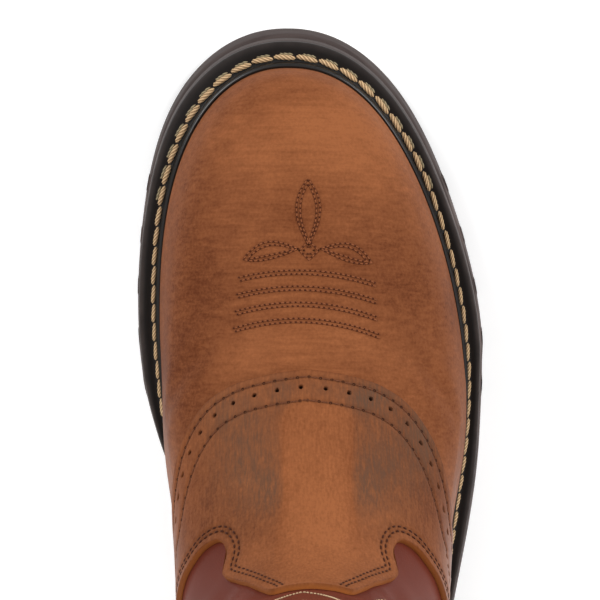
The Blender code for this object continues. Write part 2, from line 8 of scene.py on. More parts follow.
import logging
import math
from collections.abc import Callable, Sequence
from dataclasses import dataclass, field
from enum import Enum
from typing import NamedTuple

import bmesh
import bpy
import numpy as np
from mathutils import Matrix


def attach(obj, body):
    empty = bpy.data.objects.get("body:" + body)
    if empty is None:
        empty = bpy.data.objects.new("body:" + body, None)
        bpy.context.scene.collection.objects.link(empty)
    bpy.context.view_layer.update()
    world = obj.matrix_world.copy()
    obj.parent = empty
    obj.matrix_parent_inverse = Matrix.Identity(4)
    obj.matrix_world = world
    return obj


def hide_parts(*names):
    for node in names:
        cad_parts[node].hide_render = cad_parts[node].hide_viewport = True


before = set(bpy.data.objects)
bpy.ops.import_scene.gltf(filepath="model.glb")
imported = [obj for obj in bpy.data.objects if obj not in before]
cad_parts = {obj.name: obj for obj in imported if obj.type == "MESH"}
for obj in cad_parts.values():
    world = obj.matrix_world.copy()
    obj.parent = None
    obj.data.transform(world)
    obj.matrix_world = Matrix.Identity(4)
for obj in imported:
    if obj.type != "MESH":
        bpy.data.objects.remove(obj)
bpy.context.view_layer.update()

Array = np.ndarray
Colour = tuple[float, float, float]
Faces = list[list[int]]
Material = bpy.types.Material
Piece = bpy.types.Object
Rows = tuple[tuple[float, ...], ...]
Socket = bpy.types.NodeSocket

MM = 0.001
LOG = logging.getLogger("roper boot")
# The longest single step of a line that is moved sideways, and the share of its distance that a point
# has to keep.
SHIFT_STEP = 2.0
CORNER_SHARE = 0.93


class Side(Enum):
    """The two sides of the boot, with the sign that Y has there."""

    MEDIAL = 1
    LATERAL = -1

    @property
    def word(self) -> str:
        """The side as pieces and nodes are named for it."""
        return self.name.lower()


class Slot(Enum):
    """The record's material slots."""

    RUBBER = "sole_rubber"
    WELT = "welt_black"
    INSOLE = "insole_leather"
    TAN = "tan_leather"
    BURGUNDY = "burgundy_leather"


def operator(operation: str, reflected: bool = False) -> Callable[["Value", "Value | float"], "Value"]:
    """Make a method of Value that adds one Math node.

    Args:
        operation: The node's operation.
        reflected: Whether the other value comes first.

    Returns:
        The method.
    """

    def method(value: "Value", other: "Value | float") -> "Value":
        """The node's result for a value and another."""
        first, second = (other, value) if reflected else (value, other)
        return value.graph.value("ShaderNodeMath", {"operation": operation}, {0: first, 1: second})

    return method


@dataclass(frozen=True)
class Value:
    """A float socket that takes part in Python expressions, each of which adds a Math node."""

    graph: "Graph"
    socket: Socket

    __add__ = operator("ADD")
    __radd__ = operator("ADD", True)
    __sub__ = operator("SUBTRACT")
    __rsub__ = operator("SUBTRACT", True)
    __mul__ = operator("MULTIPLY")
    __rmul__ = operator("MULTIPLY", True)

    def clamp(self) -> "Value":
        """The value held between 0 and 1."""
        return self.graph.value("ShaderNodeClamp", {}, {"Value": self})

    def step(self, low: float, high: float) -> "Value":
        """An S curve from 0 at low to 1 at high."""
        ends = {"Value": self, "From Min": low, "From Max": high}
        return self.graph.value("ShaderNodeMapRange", {"interpolation_type": "SMOOTHSTEP"}, ends)


Feed = Value | Socket | float | Sequence[float]


class Graph:
    """The node tree of one material, around its Principled shader."""

    def __init__(self, name: str) -> None:
        """Make the material and the coordinates that its patterns read."""
        self.material = bpy.data.materials.new(name)
        self.material.use_nodes = True
        self.tree = self.material.node_tree
        self.shader = self.tree.nodes["Principled BSDF"]
        self.place = self.node("ShaderNodeTexCoord", {}, {}).outputs["Object"]

    def feed(self, socket: Socket, value: Feed) -> None:
        """Link a socket to another, or set it to a plain value."""
        source = value.socket if isinstance(value, Value) else value
        if isinstance(source, Socket):
            self.tree.links.new(source, socket)
        else:
            socket.default_value = source

    def node(self, kind: str, settings: dict, sockets: dict) -> bpy.types.Node:
        """Add a node.

        Args:
            kind: The node's type.
            settings: Its own settings, set first.
            sockets: Values or links for its inputs, by name or number.

        Returns:
            The new node.
        """
        made = self.tree.nodes.new(kind)
        for key, value in settings.items():
            setattr(made, key, value)
        for key, value in sockets.items():
            self.feed(made.inputs[key], value)
        return made

    def value(self, kind: str, settings: dict, sockets: dict, out: int | str = 0) -> Value:
        """Add a node and wrap one of its outputs."""
        return Value(self, self.node(kind, settings, sockets).outputs[out])

    def noise(self, waves: float, detail: float = 3.0, stretch: Sequence[float] = (1, 1, 1)) -> Value:
        """Cloudy noise.

        Args:
            waves: Waves to the metre.
            detail: Octaves of finer noise.
            stretch: Scale of each axis; below 1 draws the pattern out along it.

        Returns:
            Noise around one half.
        """
        place = self.node("ShaderNodeMapping", {}, {"Vector": self.place, "Scale": stretch}).outputs[0]
        ends = {"Vector": place, "Scale": waves, "Detail": detail, "Roughness": 0.6}
        return self.value("ShaderNodeTexNoise", {}, ends)

    def cells(self, waves: float) -> Value:
        """Distance to the edge of leather-like cells, at so many cells to the metre."""
        ends = {"Vector": self.place, "Scale": waves}
        return self.value("ShaderNodeTexVoronoi", {"feature": "DISTANCE_TO_EDGE"}, ends, "Distance")

    def mask(self, name: str) -> Value:
        """A value painted on the mesh's points, 0 where the mesh has none."""
        return self.value("ShaderNodeAttribute", {"attribute_name": name}, {}, "Fac")

    def mix(self, share: Value, first: Socket | Colour, second: Socket | Colour) -> Socket:
        """Blend two colours, the second one by its share."""
        made = self.node("ShaderNodeMix", {"data_type": "RGBA"}, {0: share})
        for index, colour in ((6, first), (7, second)):
            self.feed(made.inputs[index], colour if isinstance(colour, Socket) else (*colour, 1.0))
        return made.outputs[2]

    def relief(self, height: Value, depth_mm: float, strength: float = 0.5) -> Socket:
        """A Bump normal whose height 1 stands so many millimetres proud."""
        ends = {"Height": height, "Distance": depth_mm * MM, "Strength": strength}
        return self.node("ShaderNodeBump", {}, ends).outputs[0]

    def dress(self, **sockets: Feed) -> Material:
        """Feed the shader's sockets, named with _ for spaces, and return the material."""
        for name, value in sockets.items():
            self.feed(self.shader.inputs[name.replace("_", " ")], value)
        return self.material


@dataclass(frozen=True)
class TanLeather:
    """Oiled pull-up leather: waxy, mottled, rubbed darker and greyer in places.

    The mesh paints burnish (darker: rubbed patches, plus painted shade along the foot of the upper and
    along the overlays' edges), glow (lighter, with a painted highlight over the toe), smoke (greyer),
    groove (painted shade in the stitch channels and punched holes), edge (raw cut leather), nap (1 where
    the streaks run along the foot, not across) and wax (shinier sides).
    """

    light: Colour = (0.286, 0.098, 0.0365)
    dark: Colour = (0.104, 0.0285, 0.0100)
    smoke: Colour = (0.108, 0.056, 0.034)
    raw: Colour = (0.260, 0.080, 0.020)
    # Near-black painted shade for the stitch channels and punched holes.
    hole: Colour = (0.014, 0.005, 0.003)
    roughness: float = 0.56

    def make(self) -> Material:
        """Build the material: patches, mottle, nap streaks and pores over the painted masks."""
        g = Graph("oiled tan leather")
        cloud = g.noise(26.0, 4.0)
        mottle = g.noise(120.0, 5.0)
        pores = g.noise(1100.0)
        nap = g.noise(1500.0, stretch=(0.04, 1.0, 0.4))
        brush = g.noise(800.0, stretch=(1.0, 0.07, 0.4))
        streak = brush + g.mask("nap") * (nap - brush)
        # Shares of the four patterns, less the level under which the leather stays light.
        shade = cloud * 0.72 + mottle * 0.46 + pores * 0.75 + streak * 0.80 - 0.995
        # burnish also carries painted shade along the upper's foot and the overlays' edges, and glow a
        # painted highlight over the toe.
        shade = (shade + g.mask("burnish") - g.mask("glow")).clamp()
        colour = g.mix(shade, self.light, self.dark)
        bloom = g.mask("smoke") * (mottle * 0.6 + nap * 2.2 - 0.6)
        colour = g.mix(bloom.clamp(), colour, self.smoke)
        colour = g.mix(g.mask("edge"), colour, self.raw)
        # groove paints shade in the stitch channels and punched holes.
        colour = g.mix(g.mask("groove"), colour, self.hole)
        grain = g.cells(720.0).step(0.0, 0.22) * 0.45 + pores * 0.55 + streak * 0.20
        return g.dress(
            Base_Color=colour,
            Roughness=self.roughness + pores * 0.16 - mottle * 0.10,
            Specular_IOR_Level=0.03,
            Coat_Weight=(g.mask("wax") * 0.8).clamp(),
            Coat_Roughness=0.35,
            Normal=g.relief(grain, 0.10, 0.55),
        )


@dataclass(frozen=True)
class BurgundyLeather:
    """Smooth, half-glossy dark red-brown leather with a fine grain; the mesh paints groove (painted shade
    in the stitch channels) and burnish (painted shade along the shaft's foot, and a slight tone on the side
    seams).
    """

    light: Colour = (0.150, 0.031, 0.0175)
    dark: Colour = (0.085, 0.018, 0.011)
    # Near-black painted shade for the stitch channels.
    hole: Colour = (0.012, 0.004, 0.003)
    roughness: float = 0.40

    def make(self) -> Material:
        """Build the material: slow cloud in the colour, fine cells in the bump."""
        g = Graph("burgundy leather")
        cloud = g.noise(34.0, 4.0)
        pores = g.noise(1300.0)
        grain = g.cells(900.0).step(0.0, 0.25) * 0.6 + pores * 0.4
        # burnish is painted shade along the shaft's foot, and a slight darker tone on the side seams.
        shade = (cloud * 1.1 + pores * 0.3 - 0.25 + g.mask("burnish")).clamp()
        return g.dress(
            Base_Color=g.mix(g.mask("groove"), g.mix(shade, self.light, self.dark), self.hole),
            Roughness=self.roughness + cloud * 0.10,
            Specular_IOR_Level=0.02,
            Coat_Weight=0.06,
            Coat_Roughness=0.22,
            Normal=g.relief(grain, 0.08),
        )


@dataclass(frozen=True)
class WeltLeather:
    """Smooth black welting with a glossy storm bead; the mesh paints bead and scuff."""

    black: Colour = (0.0085, 0.0068, 0.0062)
    worn: Colour = (0.075, 0.057, 0.052)

    def make(self) -> Material:
        """Build the material: black with brownish wear, shinier on the bead."""
        g = Graph("black welt leather")
        cloud = g.noise(160.0, 4.0)
        pores = g.noise(1800.0, 2.0)
        bead = g.mask("bead")
        return g.dress(
            Base_Color=g.mix((g.mask("scuff") * (cloud * 1.4)).clamp(), self.black, self.worn),
            Roughness=0.50 - bead * 0.15 + pores * 0.10,
            Specular_IOR_Level=0.22,
            Coat_Weight=bead * 0.7,
            Coat_Roughness=0.30,
            Normal=g.relief(pores * (1.0 - bead), 0.05),
        )


@dataclass(frozen=True)
class TreadRubber:
    """Brown-black rubber with pale streaks that run along the sole's edge; the mesh paints side."""

    dark: Colour = (0.030, 0.0200, 0.0180)
    dust: Colour = (0.114, 0.083, 0.076)

    def make(self) -> Material:
        """Build the material: level streaks on the side, fine speckle all over."""
        g = Graph("tread rubber")
        streak = g.noise(340.0, 4.0, (0.12, 0.12, 2.2))
        speck = g.noise(1400.0)
        share = g.mask("side") * (streak * 2.6 - 1.0) + speck * 0.22
        return g.dress(
            Base_Color=g.mix(share.clamp(), self.dark, self.dust),
            Roughness=0.55 + speck * 0.2,
            Specular_IOR_Level=0.25,
            Normal=g.relief(speck * 0.6 + streak * 0.4, 0.08),
        )


@dataclass(frozen=True)
class Thread:
    """A twisted thread; the mesh paints twist, 1 on a strand's crown and 0 between strands: the crown
    colour is a painted highlight and the valley colour painted shade.
    """

    name: str
    crown: Colour
    valley: Colour

    def make(self) -> Material:
        """Build the material: crown and valley colours with a fibre speckle."""
        g = Graph(self.name)
        # Painted highlight on the strands' crowns and painted shade between them.
        share = (g.mask("twist") * 1.15 + g.noise(2600.0, 2.0) * 0.5 - 0.3).clamp()
        colour = g.mix(share, self.valley, self.crown)
        return g.dress(Base_Color=colour, Roughness=0.6, Specular_IOR_Level=0.08)


@dataclass(frozen=True)
class PlainLeather:
    """Vegetable-tanned lining and insole leather, matt and lightly marked."""

    light: Colour = (0.50, 0.34, 0.20)
    dark: Colour = (0.33, 0.20, 0.11)

    def make(self) -> Material:
        """Build the material: cloud and fine pores."""
        g = Graph("lining leather")
        cloud = g.noise(40.0, 5.0)
        pores = g.noise(1500.0)
        colour = g.mix((cloud * 1.2 + pores * 0.4 - 0.3).clamp(), self.light, self.dark)
        return g.dress(Base_Color=colour, Roughness=0.66 + pores * 0.1, Normal=g.relief(pores, 0.06))


Finish = TanLeather | BurgundyLeather | WeltLeather | TreadRubber | Thread | PlainLeather


def made(finish: Finish) -> Material:
    """A field whose material is made along with the finishes."""
    return field(default_factory=finish.make)


@dataclass
class Finishes:
    """Every material of the boot, made once."""

    tan: Material = made(TanLeather())
    burgundy: Material = made(BurgundyLeather())
    welt: Material = made(WeltLeather())
    rubber: Material = made(TreadRubber())
    lining: Material = made(PlainLeather())
    # Each thread's first colour is its painted highlight and its second its painted shade between strands.
    gold: Material = made(Thread("gold welt thread", (0.80, 0.56, 0.32), (0.14, 0.072, 0.030)))
    grey: Material = made(Thread("grey bobbin thread", (0.40, 0.33, 0.20), (0.10, 0.08, 0.05)))
    # brown also paints the shade in the saddle's needle holes.
    brown: Material = made(Thread("brown thread", (0.075, 0.022, 0.010), (0.035, 0.010, 0.004)))
    umber: Material = made(Thread("umber thread", (0.170, 0.062, 0.030), (0.095, 0.031, 0.014)))
    # needle hole paints the shade in the toe's needle holes.
    needle: Material = made(Thread("needle hole", (0.095, 0.028, 0.013), (0.088, 0.025, 0.012)))
    russet: Material = made(Thread("russet thread", (0.31, 0.105, 0.042), (0.13, 0.040, 0.015)))
    cream: Material = made(Thread("cream thread", (0.70, 0.53, 0.33), (0.30, 0.19, 0.10)))


class Ring(NamedTuple):
    """A level section: a closed ring from its front point on the ridge to its back point.

    tip is how far the front leans to the inner side, n is 2 for an ellipse and more for a squarer
    end, heel_pinch and the waists draw the sides in, follow is the share of the sole's own rise, and
    swell is how far the sides stand out at the ball.
    """

    name: str
    x_front: float
    z_front: float
    x_back: float
    z_back: float
    x_wide: float
    lateral: float
    medial: float
    tip: float
    n_front: float
    n_back: float
    heel_pinch: float = 0.0
    waist_lateral: float = 0.0
    waist_medial: float = 0.0
    follow: float = 0.0
    side_rise: float = 0.0
    swell: float = 0.0


class Crease(NamedTuple):
    """A soft trough on the upper, from one place to another, with a low ridge along each side."""

    around: float
    level: float
    to_around: float
    to_level: float
    depth: float
    width: float


def smooth_step(value: Array) -> Array:
    """0 below 0, 1 above 1, and an S curve between."""
    value = np.clip(value, 0.0, 1.0)
    return value * value * (3.0 - 2.0 * value)


def catmull(rows: Array, place: Array) -> Array:
    """A Catmull-Rom curve through rows.

    Args:
        rows: Values to pass through, one row each.
        place: Row numbers to read at, whole or between.

    Returns:
        The curve's values at those places.
    """
    padded = np.vstack([2 * rows[0] - rows[1], rows, 2 * rows[-1] - rows[-2]])
    place = np.clip(place, 0.0, len(rows) - 1)
    row = np.minimum(place.astype(int), len(rows) - 2)
    part = (place - row)[..., None]
    before, here, after, beyond = (padded[row + step] for step in range(4))
    bend = 2 * before - 5 * here + 4 * after - beyond
    twist = 3 * here - before - 3 * after + beyond
    return here + 0.5 * part * (after - before + part * (bend + part * twist))


def curve(rows: Sequence[Sequence[float]], steps: int) -> Array:
    """Points of the Catmull-Rom curve through rows, with so many steps between two rows."""
    return catmull(np.array(rows, float), np.linspace(0, len(rows) - 1, (len(rows) - 1) * steps + 1))


def nearest(points: Array, line: Array, block: int = 8192) -> Array:
    """Distance from each point to the closest point of a line, worked out block by block.

    Args:
        points: Points in rows, of any leading shape.
        line: The line's points.
        block: How many points are taken at once.

    Returns:
        Distances in the points' leading shape.
    """
    flat = points.reshape(-1, 3)
    square = (line**2).sum(1)
    found = []
    for start in range(0, len(flat), block):
        part = flat[start:start + block]
        gap = (part**2).sum(1)[:, None] + square - 2.0 * part @ line.T
        found.append(np.sqrt(np.maximum(gap.min(1), 0.0)))
    return np.concatenate(found).reshape(points.shape[:-1])


def unit(vectors: Array) -> Array:
    """Vectors at length 1."""
    return vectors / np.maximum(np.linalg.norm(vectors, axis=-1, keepdims=True), 1e-9)


def run_length(points: Array) -> Array:
    """Length of a line from its start to each of its points."""
    return np.concatenate([[0.0], np.cumsum(np.linalg.norm(np.diff(points, axis=0), axis=1))])


def read_line(points: Array, run: Array, at: Array) -> Array:
    """A line's points at given lengths of its run."""
    return np.stack([np.interp(at, run, column) for column in points.T], axis=1)


def outward(ahead: Array) -> Array:
    """Level unit vectors to the right of a line's steps ahead."""
    return unit(np.stack([ahead[:, 1], -ahead[:, 0], np.zeros(len(ahead))], axis=1))


@dataclass
class Last:
    """The boot's form: the sole's run along the foot and the upper's level sections above it.

    waist, pinch and ball are the middle and the span of the humps on the rings' sides.
    """

    toe_x: float = 151.0
    heel_x: float = -151.0
    heel_height: float = 33.0
    toe_spring: float = 10.0
    fore_thickness: float = 13.0
    seat_thickness: float = 8.7
    spring_start: float = 55.0
    spring_power: float = 1.8
    arch_front: float = 18.0
    heel_breast: float = -62.0
    waist: tuple[float, float] = (-38.0, 90.0)
    pinch: tuple[float, float] = (-78.0, 95.0)
    ball: tuple[float, float] = (18.0, 30.0)
    turn_step: float = 0.4
    rise_step: float = 0.02
    crease_ridge: float = 0.45
    crease_ridge_at: float = 1.6
    crease_points: int = 25
    vamp_levels: tuple[float, float] = (2.0, 7.0)
    first_turn: float = 1.2
    drop_rounds: int = 14
    most_turn: float = 12.0
    most_rise: float = 0.4
    rings: tuple[Ring, ...] = (
        Ring("feather", 135.2, 0.45, -147, 0.45, 36, 48.6, 46.2, 7, 2.20, 2.90, 5.5, 4.8, 15, 1.00, 0, 1.0),
        Ring("wall", 136.4, 13, -148.5, 12, 34, 50.2, 47.8, 7, 2.20, 2.90, 4.9, 4.6, 8, 1.00, 0, 1.3),
        Ring("shoulder", 132.2, 36, -148.5, 34, 30, 48.4, 46.3, 6.2, 2.08, 2.80, 4.6, 3.6, 3, 0.60, 0, 1.3),
        Ring("toe top", 117, 51, -148, 49, 20, 46.2, 44.8, 5, 2.00, 2.80, 4.2, 2, 2.3, 0.40, 0, 1.1),
        Ring("vamp low", 91.5, 63, -147, 61, -8, 44.2, 43, 3.4, 1.95, 2.75, 3.6, 1.2, 1.6, 0.25, 0, 0.8),
        Ring("vamp high", 64, 74, -145.5, 72, -30, 42.6, 41.8, 2.2, 1.85, 2.60, 2.4, 0.4, 1, 0.15, 0, 0.4),
        Ring("instep low", 34, 87, -143.5, 84.5, -48, 41.6, 41, 1.2, 1.85, 2.40, 1.2, 0.2, 0.5, 0.08),
        Ring("instep high", 8.0, 102.0, -141.0, 98.0, -58, 40.8, 40.6, 0.6, 1.90, 2.30),
        Ring("throat", -10.0, 118.0, -138.5, 111.0, -66, 40.6, 40.6, 0.2, 2.00, 2.20),
        Ring("ankle low", -17.5, 134.0, -137.0, 126.0, -73, 41.4, 41.4, 0, 2.10, 2.15),
        Ring("ankle high", -20.5, 153.0, -136.5, 146.0, -77, 43.0, 43.0, 0, 2.10, 2.10),
        Ring("shaft middle", -18.5, 212.0, -138.5, 208.0, -79, 48.5, 48.5, 0, 2.10, 2.10, side_rise=3),
        Ring("collar", -13.5, 270.0, -142.0, 270.0, -78, 53.0, 53.0, 0, 2.10, 2.10, side_rise=12),
    )
    creases: tuple[Crease, ...] = (
        Crease(48, 4.45, 82, 3.30, 0.45, 4.0), Crease(-48, 4.45, -82, 3.30, 0.45, 4.0),
        Crease(40, 8.60, 86, 8.05, 0.9, 6.0), Crease(-40, 8.60, -86, 8.05, 0.9, 6.0),
        Crease(-38, 9.95, 38, 9.95, 0.5, 6.0),
        Crease(138, 8.30, 222, 8.30, 1.0, 6.5), Crease(146, 9.25, 214, 9.25, 0.8, 6.5),
        Crease(64, 10.20, 104, 9.70, 0.7, 8.0), Crease(-64, 10.20, -104, 9.70, 0.7, 8.0),
    )

    @property
    def top(self) -> int:
        """Number of the collar's level."""
        return len(self.rings) - 1

    def columns(self, level: Array) -> Array:
        """The rings' values after the name, read at levels, with the values on the first axis."""
        return np.moveaxis(catmull(np.array([row[1:] for row in self.rings], float), level), -1, 0)

    def toe_rise(self, x: Array) -> Array:
        """Height that toe spring adds at X, growing as a power of the way to the tip."""
        share = np.clip((x - self.spring_start) / (self.toe_x - self.spring_start), 0.0, None)
        return self.toe_spring * share**self.spring_power

    def arch_share(self, x: Array) -> Array:
        """0 on the ball and 1 on the heel seat."""
        return smooth_step((self.arch_front - x) / (self.arch_front - self.heel_breast))

    def sole_top(self, x: Array) -> Array:
        """Height of the outsole's upper face at X."""
        lift = self.heel_height - self.fore_thickness
        return self.fore_thickness + self.toe_rise(x) + self.arch_share(x) * lift

    def sole_bottom(self, x: Array) -> Array:
        """Height of the outsole's lower face at X."""
        return self.toe_rise(x) + self.arch_share(x) * (self.heel_height - self.seat_thickness)

    def ring_points(self, columns: Sequence[Array], angle: Array) -> Array:
        """Points of level rings.

        Each half is a superellipse: X and Y are powers of the angle's cosine and sine.  The waist
        and the heel pinch take cosine humps off the width, the ball adds one, and the tip leans Y to
        the inner side.

        Args:
            columns: Ring values after the name.
            angle: Radians from the front point towards the inner side.

        Returns:
            Points in millimetres.
        """
        (x_front, z_front, x_back, z_back, x_wide, lateral, medial, tip, n_front, n_back,
         heel_pinch, waist_lateral, waist_medial, follow, side_rise, swell) = columns
        cosine = np.cos(angle)
        sine = np.sin(angle)
        forward = cosine >= 0
        inner = sine >= 0
        power = 2.0 / np.where(forward, n_front, n_back)
        along = np.sign(cosine) * np.abs(cosine) ** power
        x = x_wide + np.where(forward, x_front - x_wide, x_wide - x_back) * along
        waist = np.where(inner, waist_medial, waist_lateral) * self.hump(x, *self.waist)
        pinch = heel_pinch * self.hump(x, *self.pinch)
        half = np.where(inner, medial, lateral) - waist - pinch + swell * self.hump(x, *self.ball)
        lean = np.sin(0.5 * math.pi * np.clip(along, 0.0, 1.0))
        y = np.sign(sine) * half * np.abs(sine) ** power + tip * 0.5 * (lean + lean**2)
        share = (x - x_back) / (x_front - x_back)
        z = follow * self.sole_top(x) + z_back + (z_front - z_back) * share + side_rise * sine**2
        return np.stack([x, y, z], axis=-1)

    @staticmethod
    def hump(x: Array, middle: float, span: float) -> Array:
        """1 at the middle, falling to 0 a span away on either side as a squared cosine."""
        return np.cos(0.5 * math.pi * np.clip((x - middle) / span, -1.0, 1.0)) ** 2

    def point(self, around: Array, level: Array) -> Array:
        """Point of the upper's smooth outer face, by degrees from the ridge and by level."""
        around, level = np.broadcast_arrays(np.asarray(around, float), np.asarray(level, float))
        return self.ring_points(self.columns(level), np.radians(around))

    def slopes(self, around: Array, level: Array) -> tuple[Array, Array]:
        """Change of the point for a degree round and for a level up, from small steps both ways."""
        turn = self.turn_step
        rise = self.rise_step
        level = np.clip(level, rise, self.top - rise)
        by_degree = (self.point(around + turn, level) - self.point(around - turn, level)) / (2 * turn)
        by_level = (self.point(around, level + rise) - self.point(around, level - rise)) / (2 * rise)
        return by_degree, by_level

    def normal(self, around: Array, level: Array) -> Array:
        """Unit normal of the outer face: the cross of its two slopes."""
        return unit(np.cross(*self.slopes(around, level)))

    def wrinkle(self, points: Array) -> Array:
        """Height of the creases: each a bell-shaped trough between two lower bells."""
        share = np.linspace(0.0, 1.0, self.crease_points)
        total = np.zeros(points.shape[:-1])
        for crease in self.creases:
            around = crease.around + (crease.to_around - crease.around) * share
            level = crease.level + (crease.to_level - crease.level) * share
            away = nearest(points, self.point(around, level)) / crease.width
            ridge = self.crease_ridge * np.exp(-((away - self.crease_ridge_at) ** 2))
            total += crease.depth * (ridge - np.exp(-(away**2)))
        return total

    def skin(self, around: Array, level: Array, out: Array | float = 0.0) -> Array:
        """Point on the creased leather, at a distance outside it."""
        points = self.point(around, level)
        lift = out + self.wrinkle(points)
        return points + self.normal(around, level) * lift[..., None]

    def drop(self, x: Array, y: Array) -> tuple[Array, Array]:
        """Find the place on the upper under plan points, by Newton steps from the ridge.

        Args:
            x: Places along the foot.
            y: Places across it.

        Returns:
            Degrees from the ridge, and levels.
        """
        levels = np.linspace(*self.vamp_levels, 201)
        level = np.interp(-x, -self.point(0.0, levels)[:, 0], levels)
        around = self.first_turn * y
        for _ in range(self.drop_rounds):
            miss_x, miss_y = np.moveaxis(np.stack([x, y], -1) - self.point(around, level)[..., :2], -1, 0)
            (turn_x, turn_y), (rise_x, rise_y) = (s.T[:2] for s in self.slopes(around, level))
            size = turn_x * rise_y - turn_y * rise_x
            turn = (miss_x * rise_y - miss_y * rise_x) / size
            rise = (turn_x * miss_y - turn_y * miss_x) / size
            around = around + np.clip(turn, -self.most_turn, self.most_turn)
            level = level + np.clip(rise, -self.most_rise, self.most_rise)
        return around, level

    def side_angle(self, level: Array, x: Array) -> Array:
        """Degrees round from the ridge, on the inner side, where a level's ring passes X."""
        ring = Ring("between", *self.columns(np.asarray(level, float)))
        ahead = x - ring.x_wide
        power = np.where(ahead > 0, ring.n_front, ring.n_back) / 2.0
        share = np.abs(ahead) / np.where(ahead > 0, ring.x_front - ring.x_wide, ring.x_wide - ring.x_back)
        return np.degrees(np.arccos(np.sign(ahead) * share**power))


@dataclass
class SurfaceLine:
    """A line drawn on the last: degrees from the ridge and level, point by point."""

    last: Last
    around: Array
    level: Array

    @classmethod
    def through(cls, last: Last, rows: Sequence[Sequence[float]], steps: int = 40) -> "SurfaceLine":
        """A smooth line through rows of around and level, with so many steps between two rows."""
        return cls(last, *curve(rows, steps).T)

    @classmethod
    def plan(cls, last: Last, x: Array, y: Array) -> "SurfaceLine":
        """A line dropped onto the upper from plan places."""
        return cls(last, *last.drop(x, y))

    def __getitem__(self, keep: slice | Array) -> "SurfaceLine":
        """Some of its points."""
        return SurfaceLine(self.last, self.around[keep], self.level[keep])

    def then(self, other: "SurfaceLine") -> "SurfaceLine":
        """The line carried on by another."""
        around = np.concatenate([self.around, other.around])
        return SurfaceLine(self.last, around, np.concatenate([self.level, other.level]))

    def mirrored(self, at: float) -> "SurfaceLine":
        """The line carried over to the other side of an angle."""
        return SurfaceLine(self.last, 2 * at - self.around, self.level)

    def base(self) -> Array:
        """Its points on the smooth upper."""
        return self.last.point(self.around, self.level)

    def points(self, out: float = 0.0) -> Array:
        """Its points at a distance outside the leather."""
        return self.last.skin(self.around, self.level, out)

    def normals(self) -> Array:
        """Outward normals at its points."""
        return self.last.normal(self.around, self.level)

    def spaced(self, pitch: float, start: float = 0.0) -> "SurfaceLine":
        """Places a pitch apart, beginning at a length from its start."""
        run = run_length(self.base())
        at = np.arange(start, run[-1], pitch)
        return SurfaceLine(self.last, np.interp(at, run, self.around), np.interp(at, run, self.level))

    def shifted(self, distance: float) -> "SurfaceLine":
        """The line moved sideways on the surface, to the left of its run seen from outside.

        Each step solves for the turn and rise that give the sideways move, by least squares in the
        surface's two slopes.  Points that end nearer the first line, inside a corner, are dropped.
        """
        around = self.around
        level = self.level
        base = self.base()
        steps = int(abs(distance) // SHIFT_STEP) + 1
        move = unit(np.cross(self.normals(), np.gradient(base, axis=0))) * (distance / steps)
        for _ in range(steps):
            turn, rise = self.last.slopes(around, level)
            tt, tr, rr = (turn * turn).sum(1), (turn * rise).sum(1), (rise * rise).sum(1)
            tm, rm = (turn * move).sum(1), (rise * move).sum(1)
            size = tt * rr - tr * tr
            around = around + (tm * rr - rm * tr) / size
            level = level + (rm * tt - tm * tr) / size
        moved = SurfaceLine(self.last, around, level)
        return moved[nearest(moved.base(), base) > abs(distance) * CORNER_SHARE]


Lines = list[SurfaceLine]


class Patch(NamedTuple):
    """A soft patch of colour, by its place in plan and its half sizes along and across the foot."""

    x: float
    y: float
    long: float
    wide: float
    amount: float
    edge: float = 2.0


def paint(points: Array, rows: Rows) -> Array:
    """Sum of patches read in plan: a bell for edge 2, flatter with a crisper rim for a higher one."""
    total = np.zeros(points.shape[:-1])
    for patch in (Patch(*row) for row in rows):
        along = np.abs(points[..., 0] - patch.x) / patch.long
        across = np.abs(points[..., 1] - patch.y) / patch.wide
        total += patch.amount * np.exp(-(along**patch.edge) - across**patch.edge)
    return total


def face_masks(behind: int, **masks: Array) -> dict[str, Array]:
    """Masks of an outer face, with 0 on so many rows behind it."""
    return {key: np.pad(mask, ((0, 0), (0, behind))) for key, mask in masks.items()}


def quads(number: Array) -> Faces:
    """Quads between the columns and rows of a grid of point numbers."""
    corners = [number[:-1, :-1], number[1:, :-1], number[1:, 1:], number[:-1, 1:]]
    return np.stack(corners, axis=-1).reshape(-1, 4).tolist()


def loop_faces(points: Array, closed: bool = False) -> Faces:
    """Faces of a sheet whose columns are closed loops, closed round or else capped at both ends."""
    number = np.arange(points[..., 0].size).reshape(points.shape[:2])
    faces = quads(np.pad(number, ((0, int(closed)), (0, 1)), mode="wrap"))
    return faces if closed else faces + [number[0].tolist(), number[-1, ::-1].tolist()]


def repeated(points: Array, *blocks: Array) -> Faces:
    """Faces of a shape that is repeated: blocks of point numbers, counted on from copy to copy."""
    starts = (np.arange(len(points)) * points.shape[1])[:, None, None]
    return [face for block in blocks for face in (starts + block).reshape(-1, block.shape[1]).tolist()]


